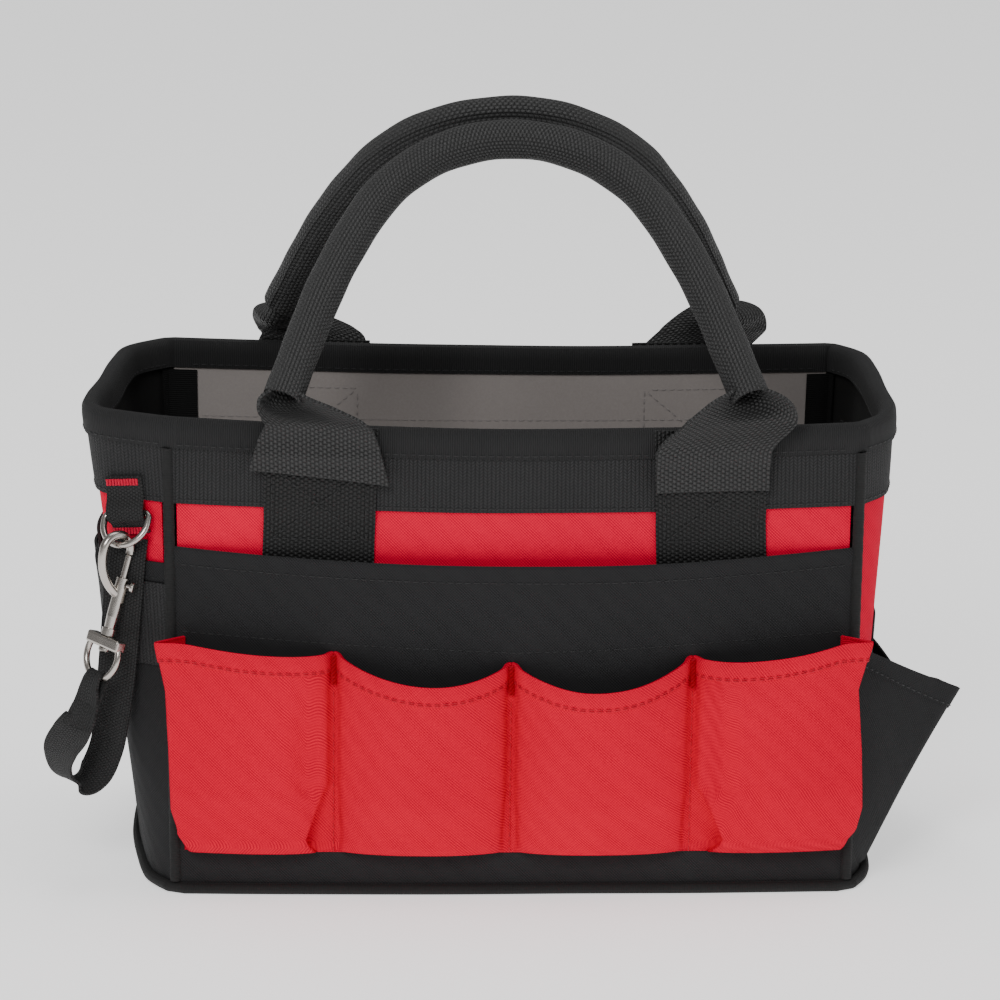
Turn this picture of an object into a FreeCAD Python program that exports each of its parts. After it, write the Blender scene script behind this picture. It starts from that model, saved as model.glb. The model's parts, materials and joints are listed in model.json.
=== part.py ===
import FreeCAD, Part
import math
import os

import Sketcher

# Garden tool bag. Millimetres, +X to the right seen from the front, -Y to the front, +Z up.
# The origin is the middle of the base, on the surface that the bag stands on.

V = FreeCAD.Vector
UP = V(0, 0, 1)

SIZES = {
    # bag body
    "rim_height": 218,
    "rim_half_width": 156,
    "base_half_width": 152,
    "front_rim_corner": 75,
    "front_rim_middle": 92,
    "back_rim_corner": 77,
    "back_rim_middle": 67,
    "base_corner": 86,
    "base_middle": 89,
    "left_rim_bulge": 193,
    "left_base_bulge": 163,
    "right_rim_bulge": 170,
    "right_base_bulge": 160,
    "end_bow": 4,
    "shoulder_inset": 17,
    "corner_gap": 3.2,
    # base
    "base_length": 316,
    "base_depth": 170,
    "board_length": 302,
    "board_depth": 152,
    "base_round": 20,
    "board_thickness": 3,
    # fabric layers
    "fabric": 1.0,
    "layer_gap": 0.2,
    "stiffener": 2.0,
    "lining": 0.9,
    "webbing": 1.4,
    "tape": 1.0,
    "band_width": 38,
    "binding_width": 13,
    "piping_radius": 2.5,
    # pockets
    "slip_mouth": 158,
    "slip_bulge": 8,
    "cell_bottom": 17,
    "cell_mouth": 114,
    "cell_depth": 15,
    "left_pocket_mouth": 152,
    "loop_band_bottom": 105,
    "right_pocket_mouth": 110,
    "right_pocket_tip_x": 207,
    "right_pocket_tip_y": -40,
    "right_pocket_tip_z": 81,
    # handles
    "strap_width": 50,
    "strap_spacing": 88,
    "strap_bottom": 118,
    "grip_radius": 9.2,
    "grip_wall": 2.2,
    "core_clearance": 0.3,
    "core_setback": 5,
    "front_handle_lean": 34.6,
    "back_handle_lean": 30.2,
    "hinge_stand_off": 2.8,
    "hinge_height": 221,
    "handle_rise": 138,
    "neck_length": 24,
    "top_arc": 78,
    "top_arc_angle": 57,
    "side_arc": 250,
    "leg_angle": 70,
    # tether
    "tether_width": 18.5,
    "ring_half_width": 11.3,
    "ring_wire": 1.5,
    "ring_leg": 4.5,
    "ring_corner": 2.6,
    "ring_tilt": 37,
    "bar_slope": 8,
    "hook_wire": 2.0,
    "crown_radius": 7.0,
    "crown_height": 42,
    "shank_arc": 22,
    "barrel_radius": 2.9,
    "barrel_top": 30,
    "collar_radius": 3.4,
    "pin_radius": 1.6,
    "pin_head": 2.6,
    "bolt_radius": 1.5,
    "bolt_fit": 0.05,
    "bolt_bottom": 18,
    "bolt_top": 40.9,
    "bolt_travel": 8,
    "stud_height": 27,
    "stud_radius": 0.95,
    "thumb_radius": 2.4,
    "thumb_reach": 5.2,
    "thumb_turn": -58,
    "eye_width": 22,
    "eye_height": 5.4,
    "eye_depth": 6,
    "eye_wire": 1.5,
    "eye_drop": 17.2,
}

doc = FreeCAD.newDocument("garden_tool_bag")
sheet = doc.addObject("Spreadsheet::Sheet", "sizes")
for row, (alias, value) in enumerate(SIZES.items(), start=1):
    sheet.set(f"A{row}", alias)
    sheet.set(f"B{row}", str(value))
    sheet.setAlias(f"B{row}", alias)
doc.recompute()

parts = []


def size(alias):
    return float(sheet.get(alias))


def add_solid(name, shape):
    """A sub-part whose shape is worked out here, as its own object."""
    feature = doc.addObject("Part::Feature", name)
    feature.Label = name
    feature.Shape = shape
    parts.append(feature)
    return feature


def new_body(name):
    body = doc.addObject("PartDesign::Body", name)
    body.Label = name
    parts.append(body)
    return body


def new_sketch(body, name, plane):
    sketch = body.newObject("Sketcher::SketchObject", name)
    support = [o for o in body.Origin.OriginFeatures if o.Role == plane][0]
    sketch.AttachmentSupport = [(support, "")]
    sketch.MapMode = "FlatFace"
    return sketch


def bind(sketch, kind, arguments, name, expression):
    """Adds a dimension to a sketch and ties it to the sizes sheet."""
    number = sketch.addConstraint(Sketcher.Constraint(kind, *arguments))
    sketch.renameConstraint(number, name)
    sketch.setExpression(f"Constraints.{name}", expression)


def add_circle(sketch, x, y, radius, name, expression):
    circle = Part.Circle(V(x, y, 0), UP, radius)
    index = sketch.addGeometry(circle, False)
    bind(sketch, "Radius", (index, radius), name, expression)
    return index


def add_polygon(sketch, corners):
    """A closed outline of straight lines joined at its corners."""
    count = len(corners)
    first = sketch.GeometryCount
    for i in range(count):
        a, b = corners[i], corners[(i + 1) % count]
        sketch.addGeometry(Part.LineSegment(V(a[0], a[1], 0), V(b[0], b[1], 0)), False)
    for i in range(count):
        here, following = first + i, first + (i + 1) % count
        sketch.addConstraint(Sketcher.Constraint("Coincident", here, 2, following, 1))


# ---------------------------------------------------------------- plan outline of the bag

BASE_Z = 1.5
TOP_Z = size("rim_height") - 1.4


def between(z, at_base, at_rim):
    """A size that changes evenly from the base to the rim."""
    share = z / size("rim_height")
    return at_base + (at_rim - at_base) * share


def offset_loop(points, offsets):
    """Moves each corner of a closed loop outward, by its own distance, along its mitre."""
    moved = []
    for i, point in enumerate(points):
        before = points[i - 1]
        after = points[(i + 1) % len(points)]
        first = V(point.y - before.y, before.x - point.x, 0).normalize()
        second = V(after.y - point.y, point.x - after.x, 0).normalize()
        mitre = (first + second) * (1 / (1 + first.dot(second)))
        moved.append(point + mitre * offsets[i])
    return moved


def outline(z, offsets):
    """Twelve points round the bag at height z, anticlockwise from the front left corner."""
    half = between(z, size("base_half_width"), size("rim_half_width"))
    front = between(z, size("base_corner"), size("front_rim_corner"))
    front_middle = between(z, size("base_middle"), size("front_rim_middle"))
    back = between(z, size("base_corner"), size("back_rim_corner"))
    back_middle = between(z, size("base_middle"), size("back_rim_middle"))
    left = between(z, size("left_base_bulge"), size("left_rim_bulge"))
    right = between(z, size("right_base_bulge"), size("right_rim_bulge"))
    inset, bow = size("shoulder_inset"), size("end_bow")
    slack = between(z, 0, 1)
    points = [
        V(-half, -front, 0),
        V(0, -front_middle, 0),
        V(half, -front, 0),
        V(right, -front + inset, 0),
        V(right + bow, 0, 0),
        V(right, back - inset, 0),
        V(half, back, 0),
        V(0, back_middle, 0),
        V(-half, back, 0),
        V(-left + 15 * slack, back - inset, 0),
        V(-left - bow + 11 * slack, 0, 0),
        V(-left, -front + inset, 0),
    ]
    if isinstance(offsets, (int, float)):
        offsets = [offsets] * len(points)
    moved = offset_loop(points, offsets)
    return [V(p.x, p.y, z) for p in moved]


WALLS = {
    "front": [0, 1, 2],
    "right": [2, 3, 4, 5, 6],
    "back": [6, 7, 8],
    "left": [8, 9, 10, 11, 0],
}


def line(a, b):
    return Part.LineSegment(a, b).toShape()


def path_edges(points):
    """One arc through three points, or a line, an arc and a line through five."""
    if len(points) == 3:
        return [Part.Arc(*points).toShape()]
    a, b, c, d, e = points
    return [line(a, b), Part.Arc(b, c, d).toShape(), line(d, e)]


def strip_wire(outer, inner):
    """The closed outline of a strip between two paths."""
    back_again = list(reversed(inner))
    edges = path_edges(outer) + [line(outer[-1], back_again[0])]
    edges += path_edges(back_again) + [line(back_again[-1], outer[0])]
    return Part.Wire(edges)


def shorten(points, gap):
    """Takes gap off both ends of a path."""
    if len(points) == 3:
        arc = Part.Arc(*points).toShape()
        step = gap / arc.Curve.Radius
        low, high = arc.FirstParameter + step, arc.LastParameter - step
        trimmed = [arc.valueAt(low), arc.valueAt((low + high) / 2), arc.valueAt(high)]
        if (trimmed[0] - points[0]).Length > (trimmed[0] - points[2]).Length:
            trimmed.reverse()
        return trimmed
    start = points[0] + (points[1] - points[0]).normalize() * gap
    end = points[-1] + (points[-2] - points[-1]).normalize() * gap
    return [start, *points[1:-1], end]


LEFT_FRONT_SHOULDER = 11


def wall_path(wall, z, end_offset, middle_offset, gap):
    """A path along one wall at height z, standing out from it by the two offsets."""
    offsets = [end_offset if i % 6 in (0, 2) else middle_offset for i in range(12)]
    offsets[LEFT_FRONT_SHOULDER] = end_offset + (middle_offset - end_offset) * 0.12
    loop = outline(z, offsets)
    return shorten([loop[i] for i in WALLS[wall]], gap)


def wall_sheet(wall, rows, thickness, gap=None):
    """A sheet on one wall. Each row is a height, and its outer face's offset at the ends and middle."""
    gap = size("corner_gap") if gap is None else gap
    wires = []
    for z, end_offset, middle_offset in rows:
        outer = wall_path(wall, z, end_offset, middle_offset, gap)
        inner = wall_path(wall, z, end_offset - thickness, middle_offset - thickness, gap)
        wires.append(strip_wire(outer, inner))
    return Part.makeLoft(wires, True, True)


def level_sheet(wall, low, high, offset, thickness, gap=None):
    """A sheet that keeps one distance from the wall."""
    return wall_sheet(wall, [(low, offset, offset), (high, offset, offset)], thickness, gap)


def loop_wire(z, offset):
    p = outline(z, offset)
    edges = path_edges(p[0:3]) + path_edges(p[2:7]) + path_edges(p[6:9])
    edges += path_edges(p[8:12] + [p[0]])
    return Part.Wire(edges)


def loop_solid(low, high, offset):
    return Part.makeLoft([loop_wire(low, offset), loop_wire(high, offset)], True, True)


# ---------------------------------------------------------------- fabric walls and their inserts

STIFFENER_OUT = -(size("fabric") + size("layer_gap"))
LINING_OUT = STIFFENER_OUT - size("stiffener") - size("layer_gap")
INNER_FACE = LINING_OUT - size("lining")
BAND_OUT = size("layer_gap") + size("webbing")
BAND_BOTTOM = size("rim_height") - size("band_width")

for wall in ("front", "back"):
    add_solid(f"{wall}_panel", level_sheet(wall, BASE_Z, TOP_Z, 0, size("fabric")))
    stiffener = level_sheet(wall, BASE_Z, TOP_Z, STIFFENER_OUT, size("stiffener"))
    add_solid(f"{wall}_stiffener", stiffener)
    add_solid(f"{wall}_lining", level_sheet(wall, BASE_Z, TOP_Z, LINING_OUT, size("lining")))

for wall in ("left", "right"):
    add_solid(f"{wall}_end_panel", level_sheet(wall, BASE_Z, TOP_Z, 0, size("fabric")))
    add_solid(f"{wall}_end_lining", level_sheet(wall, BASE_Z, TOP_Z, STIFFENER_OUT, size("lining")))

for wall in WALLS:
    add_solid(f"top_band_{wall}", level_sheet(wall, BAND_BOTTOM, TOP_Z, BAND_OUT, size("webbing")))

binding_low = size("rim_height") - size("binding_width")
binding_out = BAND_OUT + size("layer_gap") + size("tape")
binding_in = INNER_FACE - size("layer_gap") - size("tape")
binding = loop_solid(binding_low, size("rim_height"), binding_out)
binding = binding.cut(loop_solid(binding_low - 1, size("rim_height") + 1, binding_in))
channel_out = loop_solid(binding_low - 1, TOP_Z + 0.2, binding_out - size("tape"))
channel_in = loop_solid(binding_low - 2, TOP_Z + 1, binding_in + size("tape"))
add_solid("rim_binding", binding.cut(channel_out.cut(channel_in)))


# ---------------------------------------------------------------- base


def rounded_plate(name, length, depth, thickness, low):
    """A padded rectangle with rounded corners, centred on the base, its underside at low."""
    body = new_body(name)
    sketch = new_sketch(body, f"{name}_outline", "XY_Plane")
    x, y = size(length) / 2, size(depth) / 2
    add_polygon(sketch, [(-x, -y), (x, -y), (x, y), (-x, y)])
    for index, kind in enumerate(("Horizontal", "Vertical", "Horizontal", "Vertical")):
        sketch.addConstraint(Sketcher.Constraint(kind, index))
    sketch.addConstraint(Sketcher.Constraint("Symmetric", 0, 1, 2, 1, -1, 1))
    bind(sketch, "DistanceX", (0, 1, 0, 2, 2 * x), "plate_length", f"sizes.{length}")
    bind(sketch, "DistanceY", (1, 1, 1, 2, 2 * y), "plate_depth", f"sizes.{depth}")
    pad = body.newObject("PartDesign::Pad", f"{name}_pad")
    pad.Profile = sketch
    pad.setExpression("Length", f"sizes.{thickness}")
    doc.recompute()
    upright = [
        f"Edge{i}"
        for i, edge in enumerate(pad.Shape.Edges, start=1)
        if abs(edge.tangentAt(edge.FirstParameter).z) > 0.99
    ]
    fillet = body.newObject("PartDesign::Fillet", f"{name}_corners")
    fillet.Base = (pad, upright)
    fillet.setExpression("Radius", "sizes.base_round")
    body.Placement.Base = V(0, 0, low)


rounded_plate("base_panel", "base_length", "base_depth", "fabric", 0)
rounded_plate("base_board", "board_length", "board_depth", "board_thickness", BASE_Z)
LINING_FLOOR = BASE_Z + size("board_thickness") + size("layer_gap")
rounded_plate("base_lining", "board_length", "board_depth", "lining", LINING_FLOOR)

# ---------------------------------------------------------------- piping and seam tapes

PIPE_BOTTOM, PIPE_TOP = 6.0, binding_low - 0.4
CORNERS = {"front_left": 0, "front_right": 2, "back_right": 6, "back_left": 8}


def corner_piping(name, corner):
    """A round cord up one corner of the bag, as a cylinder along the slope of the corner."""
    foot = outline(PIPE_BOTTOM, 0.6)[corner]
    head = outline(PIPE_TOP, 0.6)[corner]
    cord = doc.addObject("Part::Cylinder", name)
    cord.Label = name
    cord.setExpression("Radius", "sizes.piping_radius")
    cord.Height = (head - foot).Length
    cord.Placement = FreeCAD.Placement(foot, FreeCAD.Rotation(UP, head - foot))
    parts.append(cord)


for place, corner in CORNERS.items():
    corner_piping(f"corner_piping_{place}", corner)



def piping_loop(sign):
    """Half of the base piping's eight-sided section: its outer side for sign 1, its inner side for -1."""
    radius = size("piping_radius")
    flat = radius * math.tan(math.radians(22.5))
    middle_z, middle_out = radius + 0.1, radius + 0.3
    levels = [(-radius, flat), (-flat, radius), (flat, radius), (radius, flat)]
    wires = [loop_wire(middle_z + up, middle_out + sign * out) for up, out in levels]
    return Part.makeLoft(wires, True, True)


add_solid("base_piping", piping_loop(1).cut(piping_loop(-1)))


def seam_tape(corner):
    """A folded tape inside one corner, a leaf along each wall."""
    wires = []
    leaf, tape = size("binding_width") * 0.45, size("tape")
    for z in (LINING_FLOOR + 2, binding_low - 1):
        near = outline(z, INNER_FACE - 0.6)
        apex = near[corner]
        one = (near[corner - 1] - apex).normalize()
        other = (near[(corner + 1) % 12] - apex).normalize()
        inward = (one + other) * (tape / one.cross(other).Length)
        ends = [apex + one * leaf, apex + one * leaf + inward - one * inward.dot(one)]
        far = [apex + other * leaf + inward - other * inward.dot(other), apex + other * leaf]
        wires.append(Part.makePolygon([apex, *ends, apex + inward, *far, apex]))
    return Part.makeLoft(wires, True, True)


add_solid("corner_seam_tapes", Part.makeCompound([seam_tape(c) for c in CORNERS.values()]))

# ---------------------------------------------------------------- pockets

SLIP_LOW = 7.0
SLIP_KNEE = 70
WALL_OUT = size("layer_gap") + size("fabric")
STRAP_OUT = binding_out + size("layer_gap") + size("webbing")


def slip_rows(low, offset):
    """Heights of a slip pocket, with its stand-off at its ends and middle, all moved out by offset."""
    near, bulge = WALL_OUT + offset, size("slip_bulge")
    return [
        (low, near, near + 1),
        (SLIP_KNEE, near, near + bulge * 0.7),
        (size("slip_mouth"), near + 0.6, near + bulge),
    ]


for wall in ("front", "back"):
    pocket = wall_sheet(wall, slip_rows(SLIP_LOW, 0), size("fabric"))
    add_solid(f"{wall}_slip_pocket", pocket)

DIVIDERS = [-149, -81, -1.5, 80, 149]
CELL_FLARE = 13


def slip_face(x, z):
    """How far forward the front slip pocket's face stands at x and height z."""
    share = min(1.0, (z - SLIP_LOW) / (SLIP_KNEE - SLIP_LOW))
    bulge = 1 + (size("slip_bulge") * 0.75 - 1) * share
    half = between(z, size("base_half_width"), size("rim_half_width"))
    corner = between(z, size("base_corner"), size("front_rim_corner"))
    middle = between(z, size("base_middle"), size("front_rim_middle"))
    bow = max(0.0, 1 - (x / half) ** 2)
    return -(corner + WALL_OUT + (middle + bulge - corner) * bow)


def cell_path(left, right, z, depth, inset):
    """The front of one pocket cell: a side, a bowed front and a side. Outer sides flare past the bag."""
    sides = []
    for x, inward, outer in ((left, 1, left == DIVIDERS[0]), (right, -1, right == DIVIDERS[-1])):
        flare = -CELL_FLARE if outer else 2.5
        forward = CELL_FLARE if outer else depth * 0.3
        behind = 0.4 if outer else 3.0
        foot = V(x + inset * inward, slip_face(x, z) + behind, z)
        shoulder = V(x + (flare + inset) * inward, slip_face(x, z) - forward + inset, z)
        sides.append((foot, shoulder))
    middle = V((left + right) / 2, slip_face((left + right) / 2, z) - depth + inset, z)
    return [sides[0][0], sides[0][1], middle, sides[1][1], sides[1][0]]


def tool_cell(left, right):
    """One cell of the tool pockets, open at the top and at its back."""
    fabric, depth = size("fabric"), size("cell_depth")
    low, high = size("cell_bottom"), size("cell_mouth")
    wires = []
    for z, reach in ((low, depth * 0.7), (50, depth), (high, depth)):
        outer = cell_path(left, right, z, reach, 0)
        inner = cell_path(left, right, z, reach, fabric)
        wires.append(strip_wire(outer, inner))
    front = Part.makeLoft(wires, True, True)
    edge = cell_path(left, right, low, depth * 0.7, fabric * 0.5)
    floor = Part.Face(Part.Wire([*path_edges(edge), line(edge[-1], edge[0])]))
    return front.fuse(floor.extrude(V(0, 0, fabric)))


slip_block = wall_sheet("front", slip_rows(SLIP_LOW - 2, 0.15), 9)
cells = [tool_cell(a, b) for a, b in zip(DIVIDERS, DIVIDERS[1:])]
for i in (1, 2, 3):
    cells[i].translate(V(0.05 * i, 0, 0))
add_solid("tool_pocket_panel", Part.makeCompound([cell.cut(slip_block) for cell in cells]))

bartacks = []
for x in DIVIDERS[1:-1]:
    tack = Part.makeBox(2.2, 1.4, 14)
    tack.translate(V(x - 1.1, slip_face(x, 100) - 6.4, size("cell_mouth") - 14.2))
    bartacks.append(tack)
add_solid("pocket_bartacks", Part.makeCompound(bartacks))

left_pocket_rows = [
    (SLIP_LOW, WALL_OUT, WALL_OUT + 1),
    (size("loop_band_bottom") - 5, WALL_OUT, WALL_OUT + 6.5),
    (size("left_pocket_mouth"), WALL_OUT, WALL_OUT + 7),
]
add_solid("left_end_pocket", wall_sheet("left", left_pocket_rows, size("fabric")))
LOOP_OUT = WALL_OUT + size("layer_gap") + size("webbing")
loop_rows = [
    (size("loop_band_bottom"), LOOP_OUT, LOOP_OUT + 6.6),
    (size("loop_band_bottom") + size("band_width"), LOOP_OUT, LOOP_OUT + 7),
]
add_solid("left_loop_webbing", wall_sheet("left", loop_rows, size("webbing"), 8.0))


def flared_path(z, inset):
    """The right end pocket at height z: from the front corner out to the crease and round to the back."""
    tip = V(size("right_pocket_tip_x"), size("right_pocket_tip_y"), size("right_pocket_tip_z"))
    near = outline(z, WALL_OUT + 0.1)
    start, end = near[2], near[6]
    foot = V(size("right_base_bulge") + 4, -62, SLIP_LOW)
    share = (z - foot.z) / (tip.z - foot.z)
    crease = foot + (tip - foot) * share
    far = V(crease.x - 14 * share, 64 - 18 * share, z)
    middle = V(crease.x - 3 * share + 2, 8, z)
    shift = V(-inset, 0, 0)
    first = start + V(0.3, 3 + inset, 0)
    last = end + V(0.3, -3 - inset, 0)
    return [first, crease + shift, middle + shift, far + shift, last]


pocket_wires = []
for z in (SLIP_LOW, size("right_pocket_mouth")):
    outer = flared_path(z, 0)
    inner = flared_path(z, size("fabric"))
    pocket_wires.append(strip_wire(outer, inner))
flared = Part.makeLoft(pocket_wires, True, True)
floor_path = flared_path(SLIP_LOW, size("fabric") * 0.5)
floor_wire = Part.Wire([*path_edges(floor_path), line(floor_path[-1], floor_path[0])])
flared = flared.fuse(Part.Face(floor_wire).extrude(V(0, 0, size("fabric"))))
run = size("right_pocket_tip_x") - size("rim_half_width")
drop = size("right_pocket_mouth") - size("right_pocket_tip_z")
above = Part.makePolygon(
    [
        V(150, -200, 116),
        V(150, -200, size("right_pocket_mouth") + drop * 6 / run),
        V(240, -200, size("right_pocket_tip_z") - drop * 33 / run),
        V(240, -200, 116),
        V(150, -200, 116),
    ]
)
flared = flared.cut(Part.Face(above).extrude(V(0, 400, 0)))
bag_wall = loop_solid(0, 150, WALL_OUT - 0.9)
add_solid("right_end_pocket", flared.cut(bag_wall))

# ---------------------------------------------------------------- handles

STRAP_TOP = size("rim_height") + 0.6


def on_arc(points, x):
    """The point of an arc through three points that lies at x."""
    circle = Part.Arc(*points).toShape().Curve
    centre = circle.Center
    rise = math.sqrt(circle.Radius**2 - (x - centre.x) ** 2)
    sign = 1 if points[1].y > centre.y else -1
    return V(x, centre.y + sign * rise, points[1].z)


def strap_sheet(wall, centre):
    """A flat strap on the front or back wall, from behind the slip pocket, over band and binding."""
    half = size("strap_width") / 2
    on_panel = size("layer_gap") + size("webbing")
    on_band = BAND_OUT + on_panel
    levels = [
        (size("strap_bottom"), on_panel),
        (BAND_BOTTOM - 5, on_panel),
        (BAND_BOTTOM - 1, on_band),
        (binding_low - 3, on_band),
        (binding_low - 0.5, STRAP_OUT),
        (STRAP_TOP, STRAP_OUT),
    ]
    wires = []
    for z, out in levels:
        rows = []
        for offset in (out, out - size("webbing")):
            loop = outline(min(z, size("rim_height")), offset)
            ends = []
            for x in (centre - half, centre, centre + half):
                spot = on_arc([loop[i] for i in WALLS[wall]], x)
                ends.append(V(spot.x, spot.y, z))
            rows.append(ends)
        wires.append(strip_wire(rows[0], rows[1]))
    return Part.makeLoft(wires, True, True)


for wall in ("front", "back"):
    add_solid(f"{wall}_left_strap", strap_sheet(wall, -size("strap_spacing")))
    add_solid(f"{wall}_right_strap", strap_sheet(wall, size("strap_spacing")))


def handle_path(start):
    """The handle's centreline in its own plane, from height start: leg, side arc and top arc, all tangent."""
    top, side = size("top_arc"), size("side_arc")
    first, last = math.radians(size("top_arc_angle")), math.radians(size("leg_angle"))
    crown = V(0, size("handle_rise"), 0)
    top_centre = crown - V(0, top, 0)
    join = top_centre + V(math.sin(first), math.cos(first), 0) * top
    side_centre = join - V(math.sin(first), math.cos(first), 0) * side
    foot = side_centre + V(math.sin(last), math.cos(last), 0) * side
    middle = (first + last) / 2
    bend = side_centre + V(math.sin(middle), math.cos(middle), 0) * side
    down = V(math.cos(last), -math.sin(last), 0)
    leg = foot + down * ((foot.y - start) / math.sin(last))
    return leg, foot, bend, join, crown


GRIP_PATH = handle_path(size("neck_length"))
CORE_PATH = handle_path(size("neck_length") + size("core_setback"))


def mirrored(point):
    return V(-point.x, point.y, point.z)


def add_handle_spine(sketch, path):
    """The whole centreline, from the right leg over the top to the left leg."""
    leg, foot, bend, join, crown = path
    sketch.addGeometry(Part.LineSegment(leg, foot), False)
    sketch.addGeometry(Part.Arc(foot, bend, join), False)
    sketch.addGeometry(Part.Arc(join, crown, mirrored(join)), False)
    sketch.addGeometry(Part.Arc(mirrored(join), mirrored(bend), mirrored(foot)), False)
    sketch.addGeometry(Part.LineSegment(mirrored(foot), mirrored(leg)), False)
    bind(sketch, "Radius", (2, size("top_arc")), "top_arc", "sizes.top_arc")


def handle_placement(side):
    """side is -1 for the front handle and 1 for the back one."""
    hinge = outline(size("rim_height"), STRAP_OUT + size("hinge_stand_off"))
    wall = "front" if side < 0 else "back"
    y = on_arc([hinge[i] for i in WALLS[wall]], size("strap_spacing")).y
    turn = 90 + side * size(f"{wall}_handle_lean")
    return FreeCAD.Placement(V(0, y, size("hinge_height")), FreeCAD.Rotation(V(1, 0, 0), turn))


def leg_section(body, name, path, radii):
    """A sketch across the foot of the right leg, with one circle for each radius."""
    sketch = body.newObject("Sketcher::SketchObject", name)
    leg, foot = path[:2]
    sketch.Placement = FreeCAD.Placement(leg, FreeCAD.Rotation(UP, foot - leg))
    for number, (radius, expression) in enumerate(radii):
        add_circle(sketch, 0, 0, radius, f"radius_{number}", expression)
    return sketch


def neck_ellipse(body, name, x, height, half_length, half_width):
    """A sketch parallel to the rim, with the neck's outline at that height."""
    sketch = new_sketch(body, name, "XZ_Plane")
    sketch.AttachmentOffset = FreeCAD.Placement(V(0, 0, -height), FreeCAD.Rotation())
    middle = V(x, 0, 0)
    ellipse = Part.Ellipse(middle + V(half_length, 0, 0), middle + V(0, half_width, 0), middle)
    sketch.addGeometry(ellipse, False)
    return sketch


def handle_grip(name, side):
    """The rolled tube of a handle, with the webbing spreading flat below each end."""
    body = new_body(name)
    spine = new_sketch(body, f"{name}_spine", "XY_Plane")
    add_handle_spine(spine, GRIP_PATH)
    outer = (size("grip_radius"), "sizes.grip_radius")
    inner = (size("grip_radius") - size("grip_wall"), "sizes.grip_radius - sizes.grip_wall")
    section = leg_section(body, f"{name}_section", GRIP_PATH, [outer, inner])
    doc.recompute()
    tube = body.newObject("PartDesign::AdditivePipe", f"{name}_tube")
    tube.Profile = section
    tube.Spine = spine
    doc.recompute()
    leg = GRIP_PATH[0]
    for word, sign in (("right", 1), ("left", -1)):
        flat_x = sign * (size("strap_spacing") + 2)
        flat = neck_ellipse(body, f"{name}_{word}_flat", flat_x, 0, 23, 1.2)
        radius = size("grip_radius")
        tall = neck_ellipse(body, f"{name}_{word}_round", sign * leg.x, leg.y + 1, radius + 0.4, radius)
        doc.recompute()
        neck = body.newObject("PartDesign::AdditiveLoft", f"{name}_{word}_neck")
        neck.Profile = flat
        neck.Sections = [tall]
        doc.recompute()
    body.Placement = handle_placement(side)
    return body


def handle_core(name, side):
    """The foam rod inside the rolled tube."""
    body = new_body(name)
    spine = new_sketch(body, f"{name}_spine", "XY_Plane")
    add_handle_spine(spine, CORE_PATH)
    rule = "sizes.grip_radius - sizes.grip_wall - sizes.core_clearance"
    radius = size("grip_radius") - size("grip_wall") - size("core_clearance")
    section = leg_section(body, f"{name}_section", CORE_PATH, [(radius, rule)])
    doc.recompute()
    rod = body.newObject("PartDesign::AdditivePipe", f"{name}_rod")
    rod.Profile = section
    rod.Spine = spine
    body.Placement = handle_placement(side)
    return body


handle_grip("front_handle_grip", -1)
handle_grip("back_handle_grip", 1)
handle_core("front_handle_core", -1)
handle_core("back_handle_core", 1)

# ---------------------------------------------------------------- tether: anchor webbing and D-ring

corner = outline(size("left_pocket_mouth") + 25, 0)
RIGHTWARD = (corner[0] - corner[11]).normalize()
RIGHTWARD.z = 0
OUTWARD = RIGHTWARD.cross(UP).normalize()
slope = math.radians(size("bar_slope"))
BAR_ALONG = RIGHTWARD * math.cos(slope) + UP * math.sin(slope)
BAR_UP = OUTWARD.cross(BAR_ALONG)
BAR_LIFT = 2.7
BAR_HEIGHT = 174.0
BAR_X = -172.6
facet = outline(BAR_HEIGHT, 0)
share = (BAR_X - facet[11].x) / (facet[0].x - facet[11].x)
BAR = facet[11] + (facet[0] - facet[11]) * share + OUTWARD * BAR_LIFT
TETHER_FRAME = FreeCAD.Rotation(BAR_ALONG, BAR_UP, OUTWARD, "XZY")


def anchor_webbing():
    """The webbing sewn at both ends, which rides over the D-ring's bar: a band seen from its side."""
    body = new_body("tether_anchor_webbing")
    sketch = new_sketch(body, "anchor_side", "YZ_Plane")
    over_bar = size("ring_wire") + 0.5
    inner = [
        (17, 1.9 - BAR_LIFT),
        (8, 1.9 - BAR_LIFT),
        (3, over_bar),
        (-2.4, over_bar - 0.05),
        (-5.6, 1.0 - BAR_LIFT),
        (-9.6, 0.3 - BAR_LIFT),
    ]
    outer = [(up, out + size("webbing")) for up, out in reversed(inner)]
    add_polygon(sketch, inner + outer)
    pad = body.newObject("PartDesign::Pad", "anchor_width")
    pad.Profile = sketch
    pad.SideType = "Symmetric"
    pad.setExpression("Length", "sizes.tether_width")
    body.Placement = FreeCAD.Placement(BAR, TETHER_FRAME)


anchor_webbing()


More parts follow.
